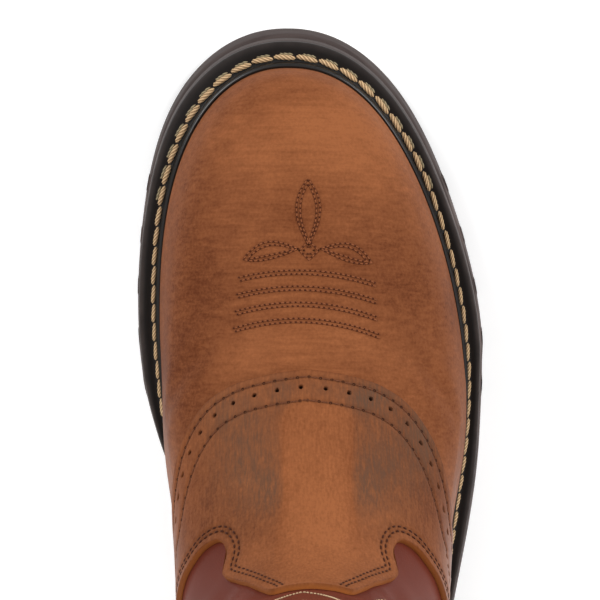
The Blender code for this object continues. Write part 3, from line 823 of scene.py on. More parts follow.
def add_piece(name: str, points: Array, faces: Faces, materials: Sequence[Material],
              masks: dict[str, Array] | None = None, slots: Array | None = None, sharp: float = 50.0,
              weld: bool = False) -> Piece:
    """Make a smooth-shaded piece from arrays.

    Args:
        name: The piece's name.
        points: Its points in millimetres, of any leading shape.
        faces: Point numbers of each face.
        materials: Its materials.
        masks: Values to paint on its points.
        slots: Material number of each face.
        sharp: Angle in degrees past which an edge stays sharp.
        weld: Whether points that coincide are merged.

    Returns:
        The new object, with its faces turned outwards.
    """
    mesh = bpy.data.meshes.new(name)
    mesh.from_pydata((points.reshape(-1, 3) * MM).tolist(), [], faces)
    for material in materials:
        mesh.materials.append(material)
    for key, values in (masks or {}).items():
        layer = mesh.attributes.new(key, "FLOAT", "POINT")
        layer.data.foreach_set("value", np.asarray(values, np.float32).ravel())
    if slots is not None:
        mesh.polygons.foreach_set("material_index", np.asarray(slots, np.int32))
    shape = bmesh.new()
    shape.from_mesh(mesh)
    if weld:
        bmesh.ops.remove_doubles(shape, verts=shape.verts, dist=1e-6)
    if shape.calc_volume(signed=True) < 0:
        bmesh.ops.reverse_faces(shape, faces=shape.faces)
    shape.to_mesh(mesh)
    shape.free()
    mesh.shade_smooth()
    mesh.set_sharp_from_angle(angle=math.radians(sharp))
    piece = bpy.data.objects.new(name, mesh)
    bpy.context.scene.collection.objects.link(piece)
    return piece


class Sheet(NamedTuple):
    """A grid of points of a welded piece.

    turned is whether its faces run the other way round, dust is what it paints as side, and closed is
    whether its last column joins its first.
    """

    points: Array
    turned: bool
    dust: Array | float = 0.0
    closed: bool = False


def weld_sheets(name: str, sheets: Sequence[Sheet], material: Material) -> Piece:
    """Make one piece of sheets whose edges meet.

    Args:
        name: The piece's name.
        sheets: Its sheets.
        material: Its material.

    Returns:
        The piece.
    """
    faces = []
    first = 0
    for sheet in sheets:
        number = first + np.arange(sheet.points[..., 0].size).reshape(sheet.points.shape[:2])
        sheet_faces = quads(np.pad(number, ((0, int(sheet.closed)), (0, 0)), mode="wrap"))
        faces += [face[::-1] for face in sheet_faces] if sheet.turned else sheet_faces
        first += number.size
    points = np.concatenate([sheet.points.reshape(-1, 3) for sheet in sheets])
    dust = [np.broadcast_to(sheet.dust, sheet.points.shape[:2]).ravel() for sheet in sheets]
    return add_piece(name, points, faces, [material], {"side": np.concatenate(dust)}, sharp=40.0, weld=True)


def rungs(first: Array, second: Array, count: int) -> Array:
    """A sheet of straight rungs from one line's points to another's, with so many points each."""
    share = np.linspace(0.0, 1.0, count)[None, :, None]
    return first[:, None] * (1 - share) + second[:, None] * share


def ring_rungs(ring: Array, count: int) -> Array:
    """Rungs across a closed ring, from its inner half to its outer half."""
    half = np.arange(len(ring) // 2 + 1)
    return rungs(ring[half], ring[-half], count)


def seat(piece: Piece, slot: Slot | None = None, node: str | None = None) -> None:
    """Let a piece ride on the boot's body, hide the imported node it stands for, and log it."""
    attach(piece, "root")
    if node:
        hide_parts(node)
    LOG.info("%s: %d faces", piece.name, len(piece.data.polygons))


@dataclass(frozen=True)
class Stitch:
    """Sizes of one stitch: a capsule that dips into its two holes, with twisted strands."""

    pitch: float
    length: float
    width: float
    rise: float
    sink: float
    strands: int = 2
    turns: float = 3.0
    depth: float = 0.10
    rings: int = 5
    sides: int = 6
    flatness: float = 0.80

    def template(self) -> tuple[Array, Array]:
        """Faces of one stitch: a fan at each pole, and quads between the rings."""
        number = 1 + np.arange(self.rings * self.sides).reshape(self.rings, self.sides)
        ahead = np.roll(number, -1, axis=1)
        head = np.zeros(self.sides, int)
        tail = head + number.size + 1
        fans = [np.stack([head, ahead[0], number[0]], 1), np.stack([tail, number[-1], ahead[-1]], 1)]
        walls = np.stack([number[:-1], ahead[:-1], ahead[1:], number[1:]], axis=-1)
        return np.concatenate(fans), walls.reshape(-1, 4)

    def sew(self, name: str, lines: Lines, thread: Material, out: float = 0.0) -> Piece:
        """Sew rows of stitches along lines on the upper, at a distance outside it."""
        rows = [line.spaced(self.pitch, self.pitch / 2) for line in lines]
        rows = [row for row in rows if len(row.around) > 2]
        places = [row.points(out) for row in rows]
        ahead = np.vstack([np.gradient(row, axis=0) for row in places])
        normals = np.vstack([row.normals() for row in rows])
        return self.place(name, np.vstack(places), ahead, normals, thread)

    @staticmethod
    def poled(grid: Array, first: float = 0.0, last: float = 0.0) -> Array:
        """A grid's values in one row between those of its two poles."""
        return np.concatenate([[first], grid.ravel(), [last]])[None, :, None]

    def place(self, name: str, places: Array, ahead: Array, normals: Array, thread: Material,
              stretch: Array | float = 1.0, slim: Array | float = 1.0) -> Piece:
        """Make one mesh of stitches.

        A stitch's middle line rises as 1 - u**4 over its length u from -1 to 1; its section is an
        ellipse that closes towards both ends, with a cosine lobe for each strand that turns along it.

        Args:
            name: The piece's name.
            places: Middle of each stitch.
            ahead: Direction of each stitch.
            normals: Outward direction at each stitch.
            thread: Its material.
            stretch: How much longer than the given length each stitch is.
            slim: Share of the given width that each stitch has.

        Returns:
            The joined mesh.
        """
        ahead = unit(ahead)
        stretch, slim = (np.broadcast_to(size, len(places))[:, None, None] for size in (stretch, slim))
        normals = unit(normals - ahead * (normals * ahead).sum(1, keepdims=True))
        side = np.cross(normals, ahead)
        half = self.length / 2
        u = np.linspace(-1.0, 1.0, self.rings + 2)[1:-1, None]
        v = np.linspace(0.0, 2 * math.pi, self.sides, endpoint=False)[None, :]
        twist = np.cos(self.strands * v + self.turns * math.pi * u)
        girth = 0.5 * self.width * np.sqrt(1.0 - np.abs(u) ** 3) * (1.0 + self.depth * twist)
        height = -self.sink + (self.rise + self.sink) * (1.0 - u**4)
        along = self.poled(np.broadcast_to(u * half, girth.shape), -half, half)
        over = self.poled(height + self.flatness * girth * np.cos(v), -self.sink, -self.sink)
        across = self.poled(girth * np.sin(v))
        points = places[:, None] + along * stretch * ahead[:, None] + over * normals[:, None]
        points = points + across * slim * side[:, None]
        masks = {"twist": np.tile(self.poled(0.5 + 0.5 * twist), (len(places), 1, 1))}
        return add_piece(name, points, repeated(points, *self.template()), [thread], masks, sharp=180.0)


@dataclass(frozen=True)
class Pinholes:
    """Needle holes: small dished dark discs at the ends of stitches, at a distance outside the upper,
    painting the shade in the holes.

    start is a direction that no hole faces; each hole's first corner is square to it.
    """

    pitch: float
    radius: float
    out: float
    sides: int = 8
    lip: float = 0.04
    dish: float = 0.25
    depth: float = 0.35
    taper: float = 0.8
    start: tuple[float, float, float] = (0.3, 1.0, 0.2)

    def punch(self, name: str, lines: Lines, thread: Material) -> Piece:
        """Put a dished disc at every hole along lines.

        Args:
            name: The piece's name.
            lines: Rows on the upper.
            thread: The dark material that paints the shade in the holes.

        Returns:
            The joined mesh.
        """
        rows = [line.spaced(self.pitch) for line in lines]
        places = np.vstack([row.points(self.out) for row in rows])[:, None]
        normals = np.vstack([row.normals() for row in rows])[:, None]
        first = unit(np.cross(normals, self.start))
        second = np.cross(normals, first)
        turn = np.linspace(0, 2 * math.pi, self.sides, endpoint=False)[:, None]
        rim = self.radius * (np.cos(turn) * first + np.sin(turn) * second)
        foot = places + rim * self.taper - self.depth * normals
        points = np.concatenate([places + rim + self.lip * normals, foot, places - self.dish * normals], 1)
        number = np.arange(self.sides)
        ahead = np.roll(number, -1)
        fan = np.stack([number, ahead, np.full(self.sides, 2 * self.sides)], axis=1)
        wall = np.stack([ahead, number, number + self.sides, ahead + self.sides], axis=1)
        faces = repeated(points, fan, wall, number[None, ::-1] + self.sides)
        return add_piece(name, points, faces, [thread], {"twist": np.zeros(points.shape[:2])}, sharp=30.0)


class Petal(NamedTuple):
    """A petal from its foot to its tip, with its greatest width and its sideways bend."""

    x: float
    y: float
    tip_x: float
    tip_y: float
    width: float
    bend: float


@dataclass
class ToeStitching:
    """The decorative rows on the vamp: three petals round a small knot, and four wrinkle arcs.

    Places are plan millimetres.  Each figure is sewn twice, a row gap apart.  A knot is the place of a
    diamond and its half sizes.
    """

    last: Last
    row_gap: float = 1.15
    stagger: float = 0.65
    arcs: int = 4
    arc_front: float = 71.2
    arc_pitch: float = 4.95
    arc_middle: float = 4.0
    arc_medial: float = 22.3
    arc_lateral: float = -20.2
    arc_bend: float = 0.0066
    arc_more_medial: float = 0.5
    arc_more_lateral: float = 0.25
    arc_more_bend: float = 0.0004
    petal_skew: float = 1.15
    petal_round: float = 0.8
    foot_gap: float = 0.8
    ends_gap: float = 2.0
    knots: Rows = ((77.4, 0.5, 2.9, 3.0), (77.4, 0.5, 1.5, 1.6))
    petals: tuple[Petal, ...] = (
        Petal(79.2, 0.6, 99.5, 0.8, 7.4, 0.0),
        Petal(77.9, 4.0, 74.7, 20.8, 5.3, -1.2),
        Petal(77.9, -3.2, 73.6, -18.9, 5.3, 1.2),
    )
    stitch: Stitch = Stitch(1.62, 1.40, 0.50, 0.0, 0.30)
    stitch_out: float = -0.12
    holes: Pinholes = Pinholes(1.62, 0.31, -0.06)

    def petal_lines(self, petal: Petal) -> Lines:
        """Both sides of a petal in two rows: half width is a skewed sine of the way to the tip."""
        axis = np.array([petal.tip_x - petal.x, petal.tip_y - petal.y])
        size = float(np.hypot(*axis))
        along = axis / size
        across = np.array([-along[1], along[0]])
        share = np.linspace(0.0, 1.0, 70)
        bow = petal.bend * np.sin(math.pi * share)
        lines = []
        for inset in (0.0, self.row_gap):
            half = (petal.width / 2 - inset) * np.sin(math.pi * share**self.petal_skew) ** self.petal_round
            run = inset * self.foot_gap + (size - inset * self.ends_gap) * share
            for sign in (1.0, -1.0):
                place = np.array([petal.x, petal.y]) + run[:, None] * along
                place = place + (bow + sign * half)[:, None] * across
                lines.append(SurfaceLine.plan(self.last, *place.T))
        return lines

    def arc_line(self, number: int, row: int) -> SurfaceLine:
        """One of an arc's two rows: a parabola that falls away from a middle line."""
        start = self.arc_medial + self.arc_more_medial * number - row * self.stagger
        y = np.linspace(start, self.arc_lateral - self.arc_more_lateral * number, 90)
        bend = self.arc_bend + self.arc_more_bend * number
        front = self.arc_front - self.arc_pitch * number - row * self.row_gap
        return SurfaceLine.plan(self.last, front - bend * (y - self.arc_middle) ** 2, y)

    def knot_lines(self) -> Lines:
        """Two diamonds between the petals, each of four short rows."""
        share = np.linspace(0.0, 1.0, 12)
        return [
            SurfaceLine.plan(self.last, x + up * high * share, y + side * wide * (1.0 - share))
            for x, y, high, wide in self.knots
            for up in (1.0, -1.0)
            for side in (1.0, -1.0)
        ]

    def lines(self) -> Lines:
        """Every row of the toe stitching."""
        found = [line for petal in self.petals for line in self.petal_lines(petal)]
        found += [self.arc_line(number, row) for number in range(self.arcs) for row in range(2)]
        return found + self.knot_lines()


@dataclass
class Upper:
    """The foot's leather wall from the feather line to the split under the overlays, with its lining.

    burnish, glow and wax are rows of Patch values.
    """

    last: Last
    toe: ToeStitching
    wall: float = 2.2
    front_reach: float = 112.0
    front_columns: int = 430
    back_columns: int = 70
    row_shares: tuple[tuple[float, int], ...] = ((0.0, 56), (0.54, 100), (0.86, 12), (1.0, 1))
    lining_rows: int = 12
    channel_depth: float = 0.34
    channel_width: float = 1.10
    channel_shade: float = 0.10
    dark_narrow: float = 1.4
    foot_shade: float = 0.22
    foot_reach: float = 0.35
    split: Rows = (
        (0, 6.50), (30, 6.35), (50, 6.00), (70, 5.30), (90, 4.60),
        (110, 4.10), (128, 4.10), (145, 4.50), (160, 5.20), (180, 6.00),
    )
    burnish: Rows = (
        (80, 36, 34, 11, 0.36), (38, 38, 26, 10, 0.33), (24, -42, 17, 9, 0.24), (62, -46, 24, 5, 0.24),
        (52, 46.5, 26, 4, 0.22), (90, 2, 17, 20, 0.26), (76, -27, 22, 11, 0.26), (52, -34, 16, 9, 0.20),
        (60, 25, 10, 10, 0.12), (60, 0, 20, 24, 0.10), (36, -2, 8, 26, 0.10), (128, 4, 6, 30, 0.04),
    )
    # The first patch, over the toe, is a painted highlight; the others lighten the leather.
    glow: Rows = (
        (114, -8, 13, 22, 0.38), (108, 24, 12, 10, 0.06), (46, 2, 9, 26, 0.16), (96, -22, 9, 10, 0.10),
    )
    wax: Rows = ((-6, 49, 30, 6, 0.8), (-20, -49, 26, 6, 0.8))

    def split_level(self, around: Array) -> Array:
        """Level where the foot's wall ends and the shaft's begins."""
        return np.interp(np.abs((around + 180.0) % 360.0 - 180.0), *curve(self.split, 20).T)

    def columns(self) -> Array:
        """Angles of the columns, closer together over the vamp than round the heel."""
        front = np.linspace(-self.front_reach, self.front_reach, self.front_columns)
        back = np.linspace(self.front_reach, 360.0 - self.front_reach, self.back_columns + 2)[1:-1]
        return np.concatenate([front, back])[:, None]

    def shares(self) -> Array:
        """Shares of the way up to the split, closer together where the toe stitching is."""
        runs = [
            np.linspace(start, end, count, endpoint=False)
            for (start, count), (end, _) in zip(self.row_shares, self.row_shares[1:])
        ]
        return np.concatenate([*runs, [1.0]])

    def build(self, tan: Material, lining: Material) -> Piece:
        """Work out the wall: outer face with stitch channels, then the lining face back down.

        Args:
            tan: Material of the outer face.
            lining: Material of the inner face.

        Returns:
            The piece.
        """
        angles = self.columns()
        shares = self.shares()
        split = self.split_level(angles)
        level = split * shares
        base = self.last.point(angles, level)
        away = nearest(base, np.vstack([line.points() for line in self.toe.lines()])) / self.channel_width
        outer = self.last.skin(angles, level, -self.channel_depth * np.exp(-(away**2)))
        low = split * np.linspace(1.0, 0.0, self.lining_rows)
        points = np.concatenate([outer, self.last.skin(angles, low, -self.wall)], axis=1)
        masks = face_masks(
            self.lining_rows,
            # Painted shade: darker along the upper's foot, beside the welt.
            burnish=paint(base, self.burnish) + self.foot_shade * np.exp(-((level / self.foot_reach) ** 2)),
            glow=paint(base, self.glow),
            wax=paint(base, self.wax),
            # Painted shade in the stitch channels.
            groove=self.channel_shade * np.exp(-((away * self.dark_narrow) ** 2)),
        )
        slots = np.tile(np.arange(points.shape[1]) >= len(shares), len(angles))
        return add_piece("upper_vamp", points, loop_faces(points, True), [tan, lining], masks, slots)


class Edge(Enum):
    """An overlay's two long edges, with the number of their first column in a rib."""

    FIRST = 1
    SECOND = 3


class Rib(NamedTuple):
    """A rib of an overlay: from the overlay's first edge to its second, on the inner side."""

    name: str
    around: float
    level: float
    to_around: float
    to_level: float


@dataclass
class Overlay:
    """A leather piece sewn over the upper: a fan of ribs mirrored to the other side.

    A band is the width of the sewn strip along an edge and its number of rows; burnish, glow, smoke and
    wax are rows of Patch values.
    """

    last: Last
    name: str
    node: str
    mirror_at: float
    per_rib: int
    front_band: tuple[float, int]
    back_band: tuple[float, int]
    field_rows: int
    ribs: tuple[Rib, ...]
    burnish: Rows = ()
    glow: Rows = ()
    smoke: Rows = ()
    wax: Rows = ()
    seat: float = 0.12
    thickness: float = 1.7
    edge_round: float = 0.5
    edge_share: float = 0.36
    edge_shade: float = 0.45
    under_rows: int = 9
    channel_depth: float = 0.42
    channel_width: float = 0.75
    channel_shade: float = 0.20
    hole_radius: float = 0.60
    hole_depth: float = 0.8
    band_limits: tuple[float, float] = (0.05, 0.45)
    raw_from: float = 0.05
    raw_span: float = 0.40

    def half(self, steps: int) -> Array:
        """Smooth rib rows on the inner side, with so many steps to each rib."""
        return curve([rib[1:] for rib in self.ribs], steps)

    def whole(self) -> Array:
        """Rib rows from one side over the mirror line to the other."""
        rows = self.half(self.per_rib)
        other = rows.copy()
        other[:, [0, 2]] = 2 * self.mirror_at - rows[:, [0, 2]]
        if self.mirror_at == 0.0:
            return np.vstack([other[:0:-1], rows])
        return np.vstack([rows, other[-2::-1]])

    def edge(self, which: Edge, start: int = 0, end: int | None = None) -> SurfaceLine:
        """One of the edges on the inner side, between two ribs."""
        rows = [rib[which.value:which.value + 2] for rib in self.ribs[start:end]]
        return SurfaceLine.through(self.last, rows)

    @staticmethod
    def between(ribs: Array, share: Array) -> tuple[Array, Array]:
        """Degrees and levels at shares of the way along each rib."""
        around, level, to_around, to_level = ribs.T[..., None]
        return around * (1 - share) + to_around * share, level * (1 - share) + to_level * share

    def shares(self, ribs: Array) -> Array:
        """Shares of the way along each rib, close together over the sewn bands at both edges."""
        around, level, to_around, to_level = ribs.T
        run = self.last.point(to_around, to_level) - self.last.point(around, level)
        length = np.linalg.norm(run, axis=1)
        (front, front_rows), (back, back_rows) = self.front_band, self.back_band
        near, far = (np.clip(band / length[:, None], *self.band_limits) for band in (front, back))
        far = 1.0 - far
        runs = [
            near * np.linspace(0.0, 1.0, front_rows, endpoint=False),
            near + (far - near) * np.linspace(0.0, 1.0, self.field_rows, endpoint=False),
            far + (1.0 - far) * np.linspace(0.0, 1.0, back_rows),
        ]
        return np.concatenate(runs, axis=1)

    def build(self, tan: Material, rows_sewn: Lines, holes: Array | None = None) -> Piece:
        """Work out the overlay: a rounded raw edge, sunk stitch rows, pinked holes and a flat back.

        Args:
            tan: Its material.
            rows_sewn: Stitch rows that sink into it.
            holes: Middles of the holes punched through it.

        Returns:
            The piece.
        """
        ribs = self.whole()
        around, level = self.between(ribs, self.shares(ribs))
        base = self.last.point(around, level)
        inside = nearest(base, np.concatenate([base[:, 0], base[:, -1], base[0], base[-1]]))
        bend = np.clip(1.0 - inside / self.edge_round, 0.0, 1.0)
        body = self.thickness * (self.edge_share + (1.0 - self.edge_share) * np.sqrt(1.0 - bend**2))
        away = nearest(base, np.vstack([line.points() for line in rows_sewn])) / self.channel_width
        channel = np.exp(-(away**2))
        pit = np.zeros(inside.shape)
        if holes is not None:
            pit = 1.0 - smooth_step(2.0 * nearest(base, holes) / self.hole_radius - 1.5)
        out = self.seat + body - self.channel_depth * channel - self.thickness * self.hole_depth * pit
        under = self.between(ribs, np.linspace(1.0, 0.0, self.under_rows))
        points = [self.last.skin(around, level, out), self.last.skin(*under, self.seat)]
        points = np.concatenate(points, axis=1)
        raw = 1.0 - smooth_step((nearest(base, base[:, -1]) - self.raw_from) / self.raw_span)
        masks = face_masks(
            self.under_rows,
            # Painted shade: darker along the rounded edge.
            burnish=paint(base, self.burnish) + self.edge_shade * np.exp(-((inside / self.edge_round) ** 2)),
            glow=paint(base, self.glow),
            smoke=paint(base, self.smoke),
            wax=paint(base, self.wax),
            # Painted shade in the stitch channels, and in full in the punched holes.
            groove=np.maximum(self.channel_shade * channel**2, pit),
        )
        masks["edge"] = np.pad(raw, ((0, 0), (0, self.under_rows)), constant_values=1.0)
        masks["nap"] = np.ones(points.shape[:2])
        return add_piece(self.name, points, loop_faces(points), [tan], masks, sharp=60.0)


def make_saddle(last: Last) -> Overlay:
    """The saddle over the instep: a brogued band in front, a tongue and two scoops behind."""
    ribs = (
        Rib("ridge", 0.0, 5.775, 0.0, 9.88),
        Rib("tongue middle", 5.0, 5.775, 8.0, 9.90),
        Rib("tongue point", 10.0, 5.755, 15.7, 9.84),
        Rib("tongue side", 15.0, 5.715, 23.2, 9.05),
        Rib("tongue side low", 21.0, 5.645, 31.0, 8.40),
        Rib("tongue corner", 27.0, 5.545, 37.8, 7.88),
        Rib("scoop wall", 32.0, 5.445, 36.8, 7.48),
        Rib("scoop bottom", 38.0, 5.315, 40.8, 7.12),
        Rib("scoop rise", 46.0, 5.115, 49.5, 6.81),
        Rib("quarter front", 56.0, 4.865, 60.0, 6.48),
        Rib("quarter", 66.0, 4.635, 70.0, 6.08),
        Rib("quarter back", 78.0, 4.395, 82.0, 5.60),
        Rib("side", 88.0, 4.185, 94.0, 5.12),
        Rib("seam corner", 94.5, 3.70, 106.4, 4.74),
        Rib("seam top", 98.0, 3.20, 108.3, 4.20),
        Rib("seam middle", 103.0, 2.30, 111.3, 3.00),
        Rib("seam low", 107.0, 1.40, 114.3, 1.80),
        Rib("seam foot", 110.0, 0.60, 117.3, 0.60),
    )
    burnish = (
        (2, 30, 24, 9, 0.20), (-4, 22, 12, 12, 0.10), (14, -22, 22, 12, 0.18), (-8, 14, 12, 9, 0.10),
        (4, -34, 28, 9, 0.26), (7, -38, 12, 6, 0.16), (-9, -39, 11, 7, 0.10), (-9, 36, 10, 6, 0.12),
        (8, 40, 10, 5, 0.10), (34, 0, 6, 14, 0.12),
    )
    glow = ((9, -2, 27, 9.6, 0.20, 8), (-8, -3, 16, 13, 0.09), (6.6, 19.6, 1.2, 3.6, 0.30))
    smoke = (
        (14, 18.4, 18, 11, 0.68), (3.5, 12, 6.5, 5, 0.45), (14, -23, 17, 13, 0.62), (5, -15.5, 8, 5, 0.50),
        (12, -35.5, 10, 5, 0.26), (3, -2, 25, 9.6, -1.0, 6), (34, -2, 5, 6, 0.30), (34, 8.5, 5, 4, 0.55),
        (32, -17, 5, 9, 0.80), (24, -34, 9, 5, 0.60), (28, 26, 7, 9, 0.34),
    )
    wax = ((-26, 44.5, 26, 5, 1.3), (-26, -44.5, 26, 5, 1.3))
    return Overlay(last, "saddle_overlay", "saddle", mirror_at=0.0, per_rib=16, front_band=(12.5, 56),
                   back_band=(6.0, 24), field_rows=38, ribs=ribs, burnish=burnish, glow=glow, smoke=smoke,
                   wax=wax)


def make_counter(last: Last) -> Overlay:
    """The counter round the heel, from one side seam to the other."""
    ribs = (
        Rib("seam", 118.0, 0.60, 108.0, 4.70),
        Rib("welt end", 124.0, 0.60, 114.0, 4.64),
        Rib("seat front", 128.5, 0.14, 120.0, 4.67),
        Rib("seat", 136.0, 0.08, 130.0, 4.85),
        Rib("heel side", 146.0, 0.08, 143.0, 5.35),
        Rib("heel turn", 159.0, 0.08, 158.0, 6.20),
        Rib("heel back turn", 170.0, 0.08, 169.5, 6.95),
        Rib("heel back", 180.0, 0.08, 180.0, 7.20),
    )
    burnish = ((-140, 0, 14, 30, 0.20), (-100, 40, 30, 10, 0.16), (-100, -40, 30, 10, 0.16))
    return Overlay(last, "counter_overlay", "counter", mirror_at=180.0, per_rib=24, front_band=(1.5, 6),
                   back_band=(8.0, 32), field_rows=40, ribs=ribs, burnish=burnish,
                   glow=((-118, 0, 20, 60, 0.10),))


@dataclass
class Sewing:
    """The dark rows on saddle and counter, and the saddle's brogue holes."""

    last: Last
    seam_rib: int = 14
    tongue_rib: int = 2
    front_rows: tuple[float, float] = (2.7, 10.5)
    hole_row: float = 5.95
    hole_pitch: float = 7.1
    hole_start: float = 1.65
    holes_a_side: int = 10
    back_rows: tuple[float, float] = (3.1, 4.7)
    seam_rows: tuple[float, float] = (1.8, 3.6)
    lift: float = 1.5
    front_stitch: Stitch = Stitch(3.4, 3.0, 0.50, 0.02, 0.45)
    front_holes: Pinholes = Pinholes(3.4, 0.48, 1.56)
    back_stitch: Stitch = Stitch(2.45, 1.95, 0.66, 0.04, 0.45)

    def beside(self, edge: SurfaceLine, overlay: Overlay, rows: Sequence[float]) -> Lines:
        """Rows at distances from an overlay's edge, on the side where the overlay's own middle is."""
        ribs = overlay.half(4)
        middle = self.last.point(ribs[:, [0, 2]].mean(1), ribs[:, [1, 3]].mean(1))
        mid = len(edge.around) // 2
        short = edge[mid - 3:mid + 4]
        left, right = (nearest(short.shifted(way).base(), middle).mean() for way in (1.0, -1.0))
        return [edge.shifted(row if left < right else -row) for row in rows]

    def front_lines(self, saddle: Overlay) -> Lines:
        """Rows beside the saddle's front edge, over the ridge from side to side."""
        half = saddle.edge(Edge.FIRST, 0, self.seam_rib)
        return self.beside(half.mirrored(0.0)[:0:-1].then(half), saddle, self.front_rows)

    def hole_line(self, saddle: Overlay) -> SurfaceLine:
        """The brogue holes between the two front rows, counted out from beside the ridge."""
        row, = self.beside(saddle.edge(Edge.FIRST, 0, self.seam_rib), saddle, [self.hole_row])
        inner = row.spaced(self.hole_pitch, self.hole_start)[:self.holes_a_side]
        outer = row.spaced(self.hole_pitch, self.hole_pitch - self.hole_start)[:self.holes_a_side]
        return inner.then(outer.mirrored(0.0))

    def back_lines(self, saddle: Overlay) -> Lines:
        """Double rows round each scoop and along the tongue's sides."""
        edge = saddle.edge(Edge.SECOND, self.tongue_rib, self.seam_rib)
        lines = self.beside(edge, saddle, self.back_rows)
        return lines + [line.mirrored(0.0) for line in lines]

    def counter_lines(self, counter: Overlay) -> Lines:
        """Double rows along the counter's top edge and its two side seams."""
        half = counter.edge(Edge.SECOND)
        lines = self.beside(half.then(half.mirrored(180.0)[-2::-1]), counter, self.back_rows)
        seam = SurfaceLine.through(self.last, [counter.ribs[0][1:3], counter.ribs[0][3:5]])
        for line in self.beside(seam, counter, self.seam_rows):
            lines += [line, line.mirrored(180.0)]
        return lines


@dataclass
class Shaft:
    """The leg: a burgundy wall with its lining, a rolled collar and cream stitching."""

    last: Last
    upper: Upper
    wall: float = 2.2
    split_gap: float = 0.04
    columns: int = 320
    rows: int = 150
    lining_rows: int = 26
    rim_rows: int = 7
    collar_drop: float = 0.08
    collar_points: int = 721
    nest: tuple[float, ...] = (0.0, 14.0)
    nest_reach: float = 60.0
    lean: float = 3.0
    channel_depth: float = 0.18
    channel_width: float = 0.9
    channel_shade: float = 0.3
    foot_shade: float = 0.25
    foot_reach: float = 0.5
    stitch: Stitch = Stitch(1.75, 1.15, 0.55, 0.10, 0.28)
    stitch_out: float = -0.1
    scallop: Rows = (
        (0, 10.20), (8, 10.42), (15, 10.82), (20, 10.55), (26, 9.80), (33, 9.22), (39, 9.60),
        (47, 10.30), (54, 10.90), (50, 11.25), (40, 11.28), (30, 11.16), (20, 11.30),
        (12, 11.52), (5, 11.72), (0, 11.86),
    )

    def lines(self) -> Lines:
        """The flame figure in nested rows, on the front and on the back, and one row under the collar."""
        edge = SurfaceLine.through(self.last, self.scallop)
        lines = []
        for gap in self.nest:
            inner = edge.shifted(gap) if gap else edge
            half = inner[(inner.around > 0.0) & (inner.around < self.nest_reach)]
            whole = half.mirrored(0.0)[::-1].then(half)
            for middle in (self.lean, 180.0):
                lines.append(SurfaceLine(self.last, middle + whole.around, whole.level))
        around = np.linspace(0.0, 360.0, self.collar_points)
        level = np.full(around.shape, self.last.top - self.collar_drop)
        return [*lines, SurfaceLine(self.last, around, level)]

    def build(self, burgundy: Material, lining: Material) -> Piece:
        """Work out the wall: outer face up, half-round rim, lining face down.

        Args:
            burgundy: Material of the outer face.
            lining: Material of the inner face.

        Returns:
            The piece.
        """
        top = float(self.last.top)
        angles = np.linspace(-180.0, 180.0, self.columns, endpoint=False)[:, None]
        start = self.upper.split_level(angles) + self.split_gap
        level = start + (top - start) * np.linspace(0.0, 1.0, self.rows)
        base = self.last.point(angles, level)
        away = nearest(base, np.vstack([line.points() for line in self.lines()]))
        channel = np.exp(-((away / self.channel_width) ** 2))
        outer = self.last.skin(angles, level, -self.channel_depth * channel)
        turn = np.linspace(0.0, math.pi, self.rim_rows + 2)[1:-1]
        rim = self.last.skin(angles, top, (np.cos(turn) - 1.0) * self.wall / 2)
        rim[..., 2] += np.sin(turn) * self.wall / 2
        low = start + (top - start) * np.linspace(1.0, 0.0, self.lining_rows)
        points = np.concatenate([outer, rim, self.last.skin(angles, low, -self.wall)], axis=1)
        masks = face_masks(
            self.rim_rows + self.lining_rows,
            # Painted shade in the stitch channels.
            groove=self.channel_shade * channel,
            # Painted shadow: darker along the shaft's foot, where the overlays lie on it.
            burnish=self.foot_shade * np.exp(-(((level - start) / self.foot_reach) ** 2)),
        )
        slots = np.tile(np.arange(points.shape[1]) >= self.rows + self.rim_rows, self.columns)
        return add_piece("shaft_leg", points, loop_faces(points, True), [burgundy, lining], masks, slots)


@dataclass
class SideSeam:
    """A raised strip up one side of the shaft, domed across, with a row of stitches at each side."""

    last: Last
    side: Side
    foot: tuple[float, float] = (108.0, 5.0)
    top_level: float = 11.3
    half_width: float = 2.2
    dome: float = 1.3
    dome_power: float = 0.7
    seat: float = 0.1
    steps: int = 160
    across: int = 17
    burnish: float = 0.05
    row_gap: float = 4.0
    stitch: Stitch = Stitch(2.3, 1.9, 0.7, 0.10, 0.3)

    def line(self) -> SurfaceLine:
        """The strip's middle, straight in side view from its foot to the collar's widest place."""
        level = np.linspace(self.foot[1], self.top_level, self.steps)
        x = np.linspace(self.last.point(*self.foot)[0], self.last.rings[-1].x_wide, self.steps)
        return SurfaceLine(self.last, self.side.value * self.last.side_angle(level, x), level)

    def build(self, leather: Material) -> Piece:
        """Carry a half-round section with a flat back along the middle line."""
        line = self.line()
        middle = line.points(self.seat)
        normal = line.normals()
        sideways = unit(np.cross(np.gradient(middle, axis=0), normal))
        turn = np.linspace(0.0, math.pi, self.across)
        back = np.linspace(-1.0, 1.0, 5)[1:-1]
        across = np.concatenate([np.cos(turn), back])[:, None] * self.half_width
        over = np.concatenate([np.sin(turn) ** self.dome_power, np.zeros(len(back))])[:, None] * self.dome
        points = middle[:, None] + sideways[:, None] * across + normal[:, None] * over
        masks = {"burnish": np.full(points.shape[:2], self.burnish)}
        name = f"side_piping_{self.side.word}"
        return add_piece(name, points, loop_faces(points), [leather], masks, sharp=70.0)

    def rows(self) -> Lines:
        """Stitch rows beside the strip."""
        return [self.line().shifted(gap) for gap in (self.row_gap, -self.row_gap)]


